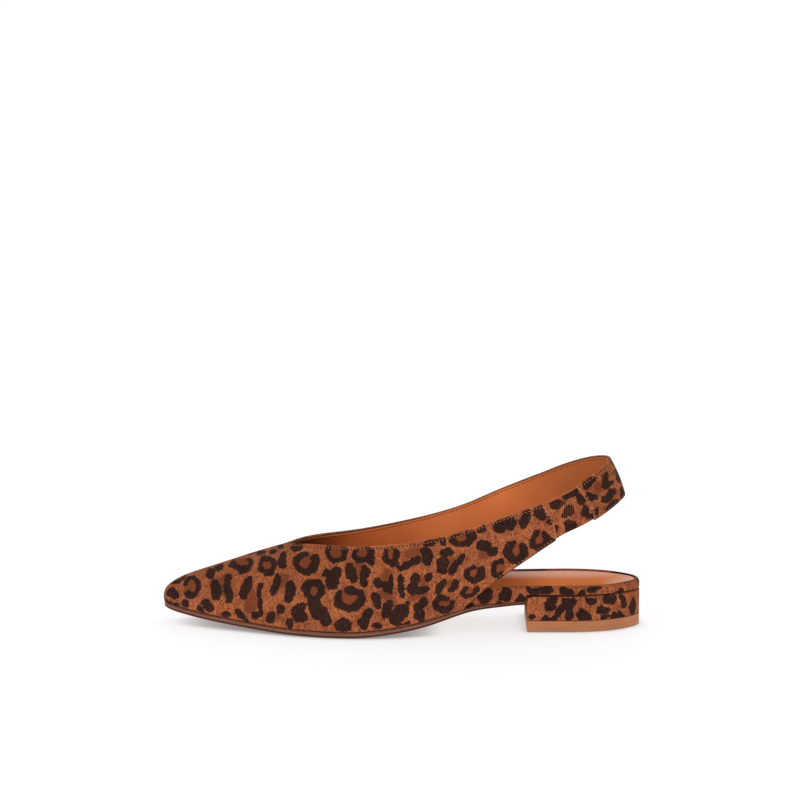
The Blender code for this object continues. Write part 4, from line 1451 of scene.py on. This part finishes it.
# Studio
def make_floor(name):
    """Plain pale floor, lit from below as on a light table, so that only close shadows are dark."""
    paint = Paint(bpy.data.materials.new(name))
    contact = paint.add("AmbientOcclusion", {"Distance": CONTACT_REACH}).outputs["AO"]
    values = {
        "Base Color": paint.blend(paint.noise(*FLOOR_TONE), *FLOOR_COLOURS),
        "Emission Color": WHITE,
        "Emission Strength": paint.remap(contact, 0.0, 1.0, CONTACT_GLOW, FLOOR_GLOW),
        **FLOOR_FINISH,
    }
    paint.fill(paint.shader, values)
    data = bpy.data.meshes.new(name)
    corners = [(FLOOR_REACH * x, FLOOR_REACH * y, 0) for x, y in ((-1, -1), (1, -1), (1, 1), (-1, 1))]
    data.from_pydata(corners, [], [(0, 1, 2, 3)])
    data.materials.append(paint.block)
    floor = add_object(name, data)
    floor.location.z = -FLOOR_DROP


def make_studio():
    """Floor, lights, white surroundings and the camera."""
    make_floor("studio_floor")
    for light in LIGHTS:
        data = bpy.data.lights.new(light.name, "AREA")
        data.size = light.size
        data.energy = light.power
        item = add_object(light.name, data)
        way = unit(np.array(LIGHT_AIM) - np.array(light.place))
        item.location = light.place
        item.rotation_euler = Vector(way).to_track_quat("-Z", "Y").to_euler()

    sky = Paint(bpy.data.worlds.new("studio_white"), "Background")
    height = sky.split(sky.place["Generated"])["Z"]
    strength = sky.remap(height, *SKY_RANGE, HORIZON_LIGHT, ZENITH_LIGHT)
    sky.fill(sky.shader, {"Color": WHITE, "Strength": strength})
    bpy.context.scene.world = sky.block
    bpy.context.scene.view_settings.view_transform = "Standard"

    data = bpy.data.cameras.new("camera")
    data.sensor_width = SENSOR
    data.lens = LENS_PX * SENSOR / PHOTO_SIZE
    data.clip_end = CLIP_END
    camera = add_object("camera", data)
    camera.location = EYE * MM
    camera.rotation_euler = (math.pi / 2 - CAMERA_PITCH, 0.0, 0.0)
    bpy.context.scene.camera = camera


# Build: the name, shape and material of each piece, its slot, the solid that it stands for, and the
# thickness and rounding of a shell
Piece = namedtuple("Piece", "name shape material slot stands_for shell", defaults=(None, None, None))
suede_shell = (SUEDE, EDGE_ROUND)
upper_suede = printed_suede("printed_suede")
strap_suede = printed_suede("printed_suede_strap", REAR_SHADE)
elastic = printed_suede("printed_elastic", ribs=RIBS)
elastic_shell = (GUSSET_SKIN, EDGE_ROUND / 2)
lining_leather = smooth_leather("lining_leather", LINING_LEATHER)
lining_shell = (LINING, LINING / 3)
rim_suede = printed_suede("printed_suede_rim", REAR_SHADE)
sock_leather = smooth_leather("sock_leather", SOCK_LEATHER)
outsole_leather = sole_leather("outsole_leather")
heel_suede = printed_suede("printed_suede_heel", REAR_SHADE)
lift_composition = stacked_lift("lift_composition")
PIECES = (
    Piece("vamp_and_wings", upper_mesh, upper_suede, "upper_suede", "upper", suede_shell),
    Piece("back_strap", strap_mesh, strap_suede, "strap_suede", "sling_strap", suede_shell),
    Piece("gusset_panel", gusset_mesh, elastic, "gusset_elastic", "elastic_gusset", elastic_shell),
    Piece("lining", lining_mesh, lining_leather, shell=lining_shell),
    Piece("seat_cover", board_mesh, rim_suede, "seat_cover", "insole_board"),
    Piece("sock_lining", sock_mesh, sock_leather, "sock_leather", "insole"),
    Piece("leather_outsole", outsole_mesh, outsole_leather, "sole_leather", "outsole"),
    Piece("covered_heel", heel_mesh, heel_suede, "heel_cover", "heel_block"),
    Piece("heel_lift", lift_mesh, lift_composition, "lift_rubber", "top_lift"),
)
for piece in PIECES:
    data = piece.shape(piece.name)
    if piece.name in CHARTS:
        print_marks(data, piece.name)
    item = add_piece(piece.name, data, piece.material, piece.stands_for)
    if piece.shell:
        add_wall(item, *piece.shell)
make_all_stitches()
make_studio()
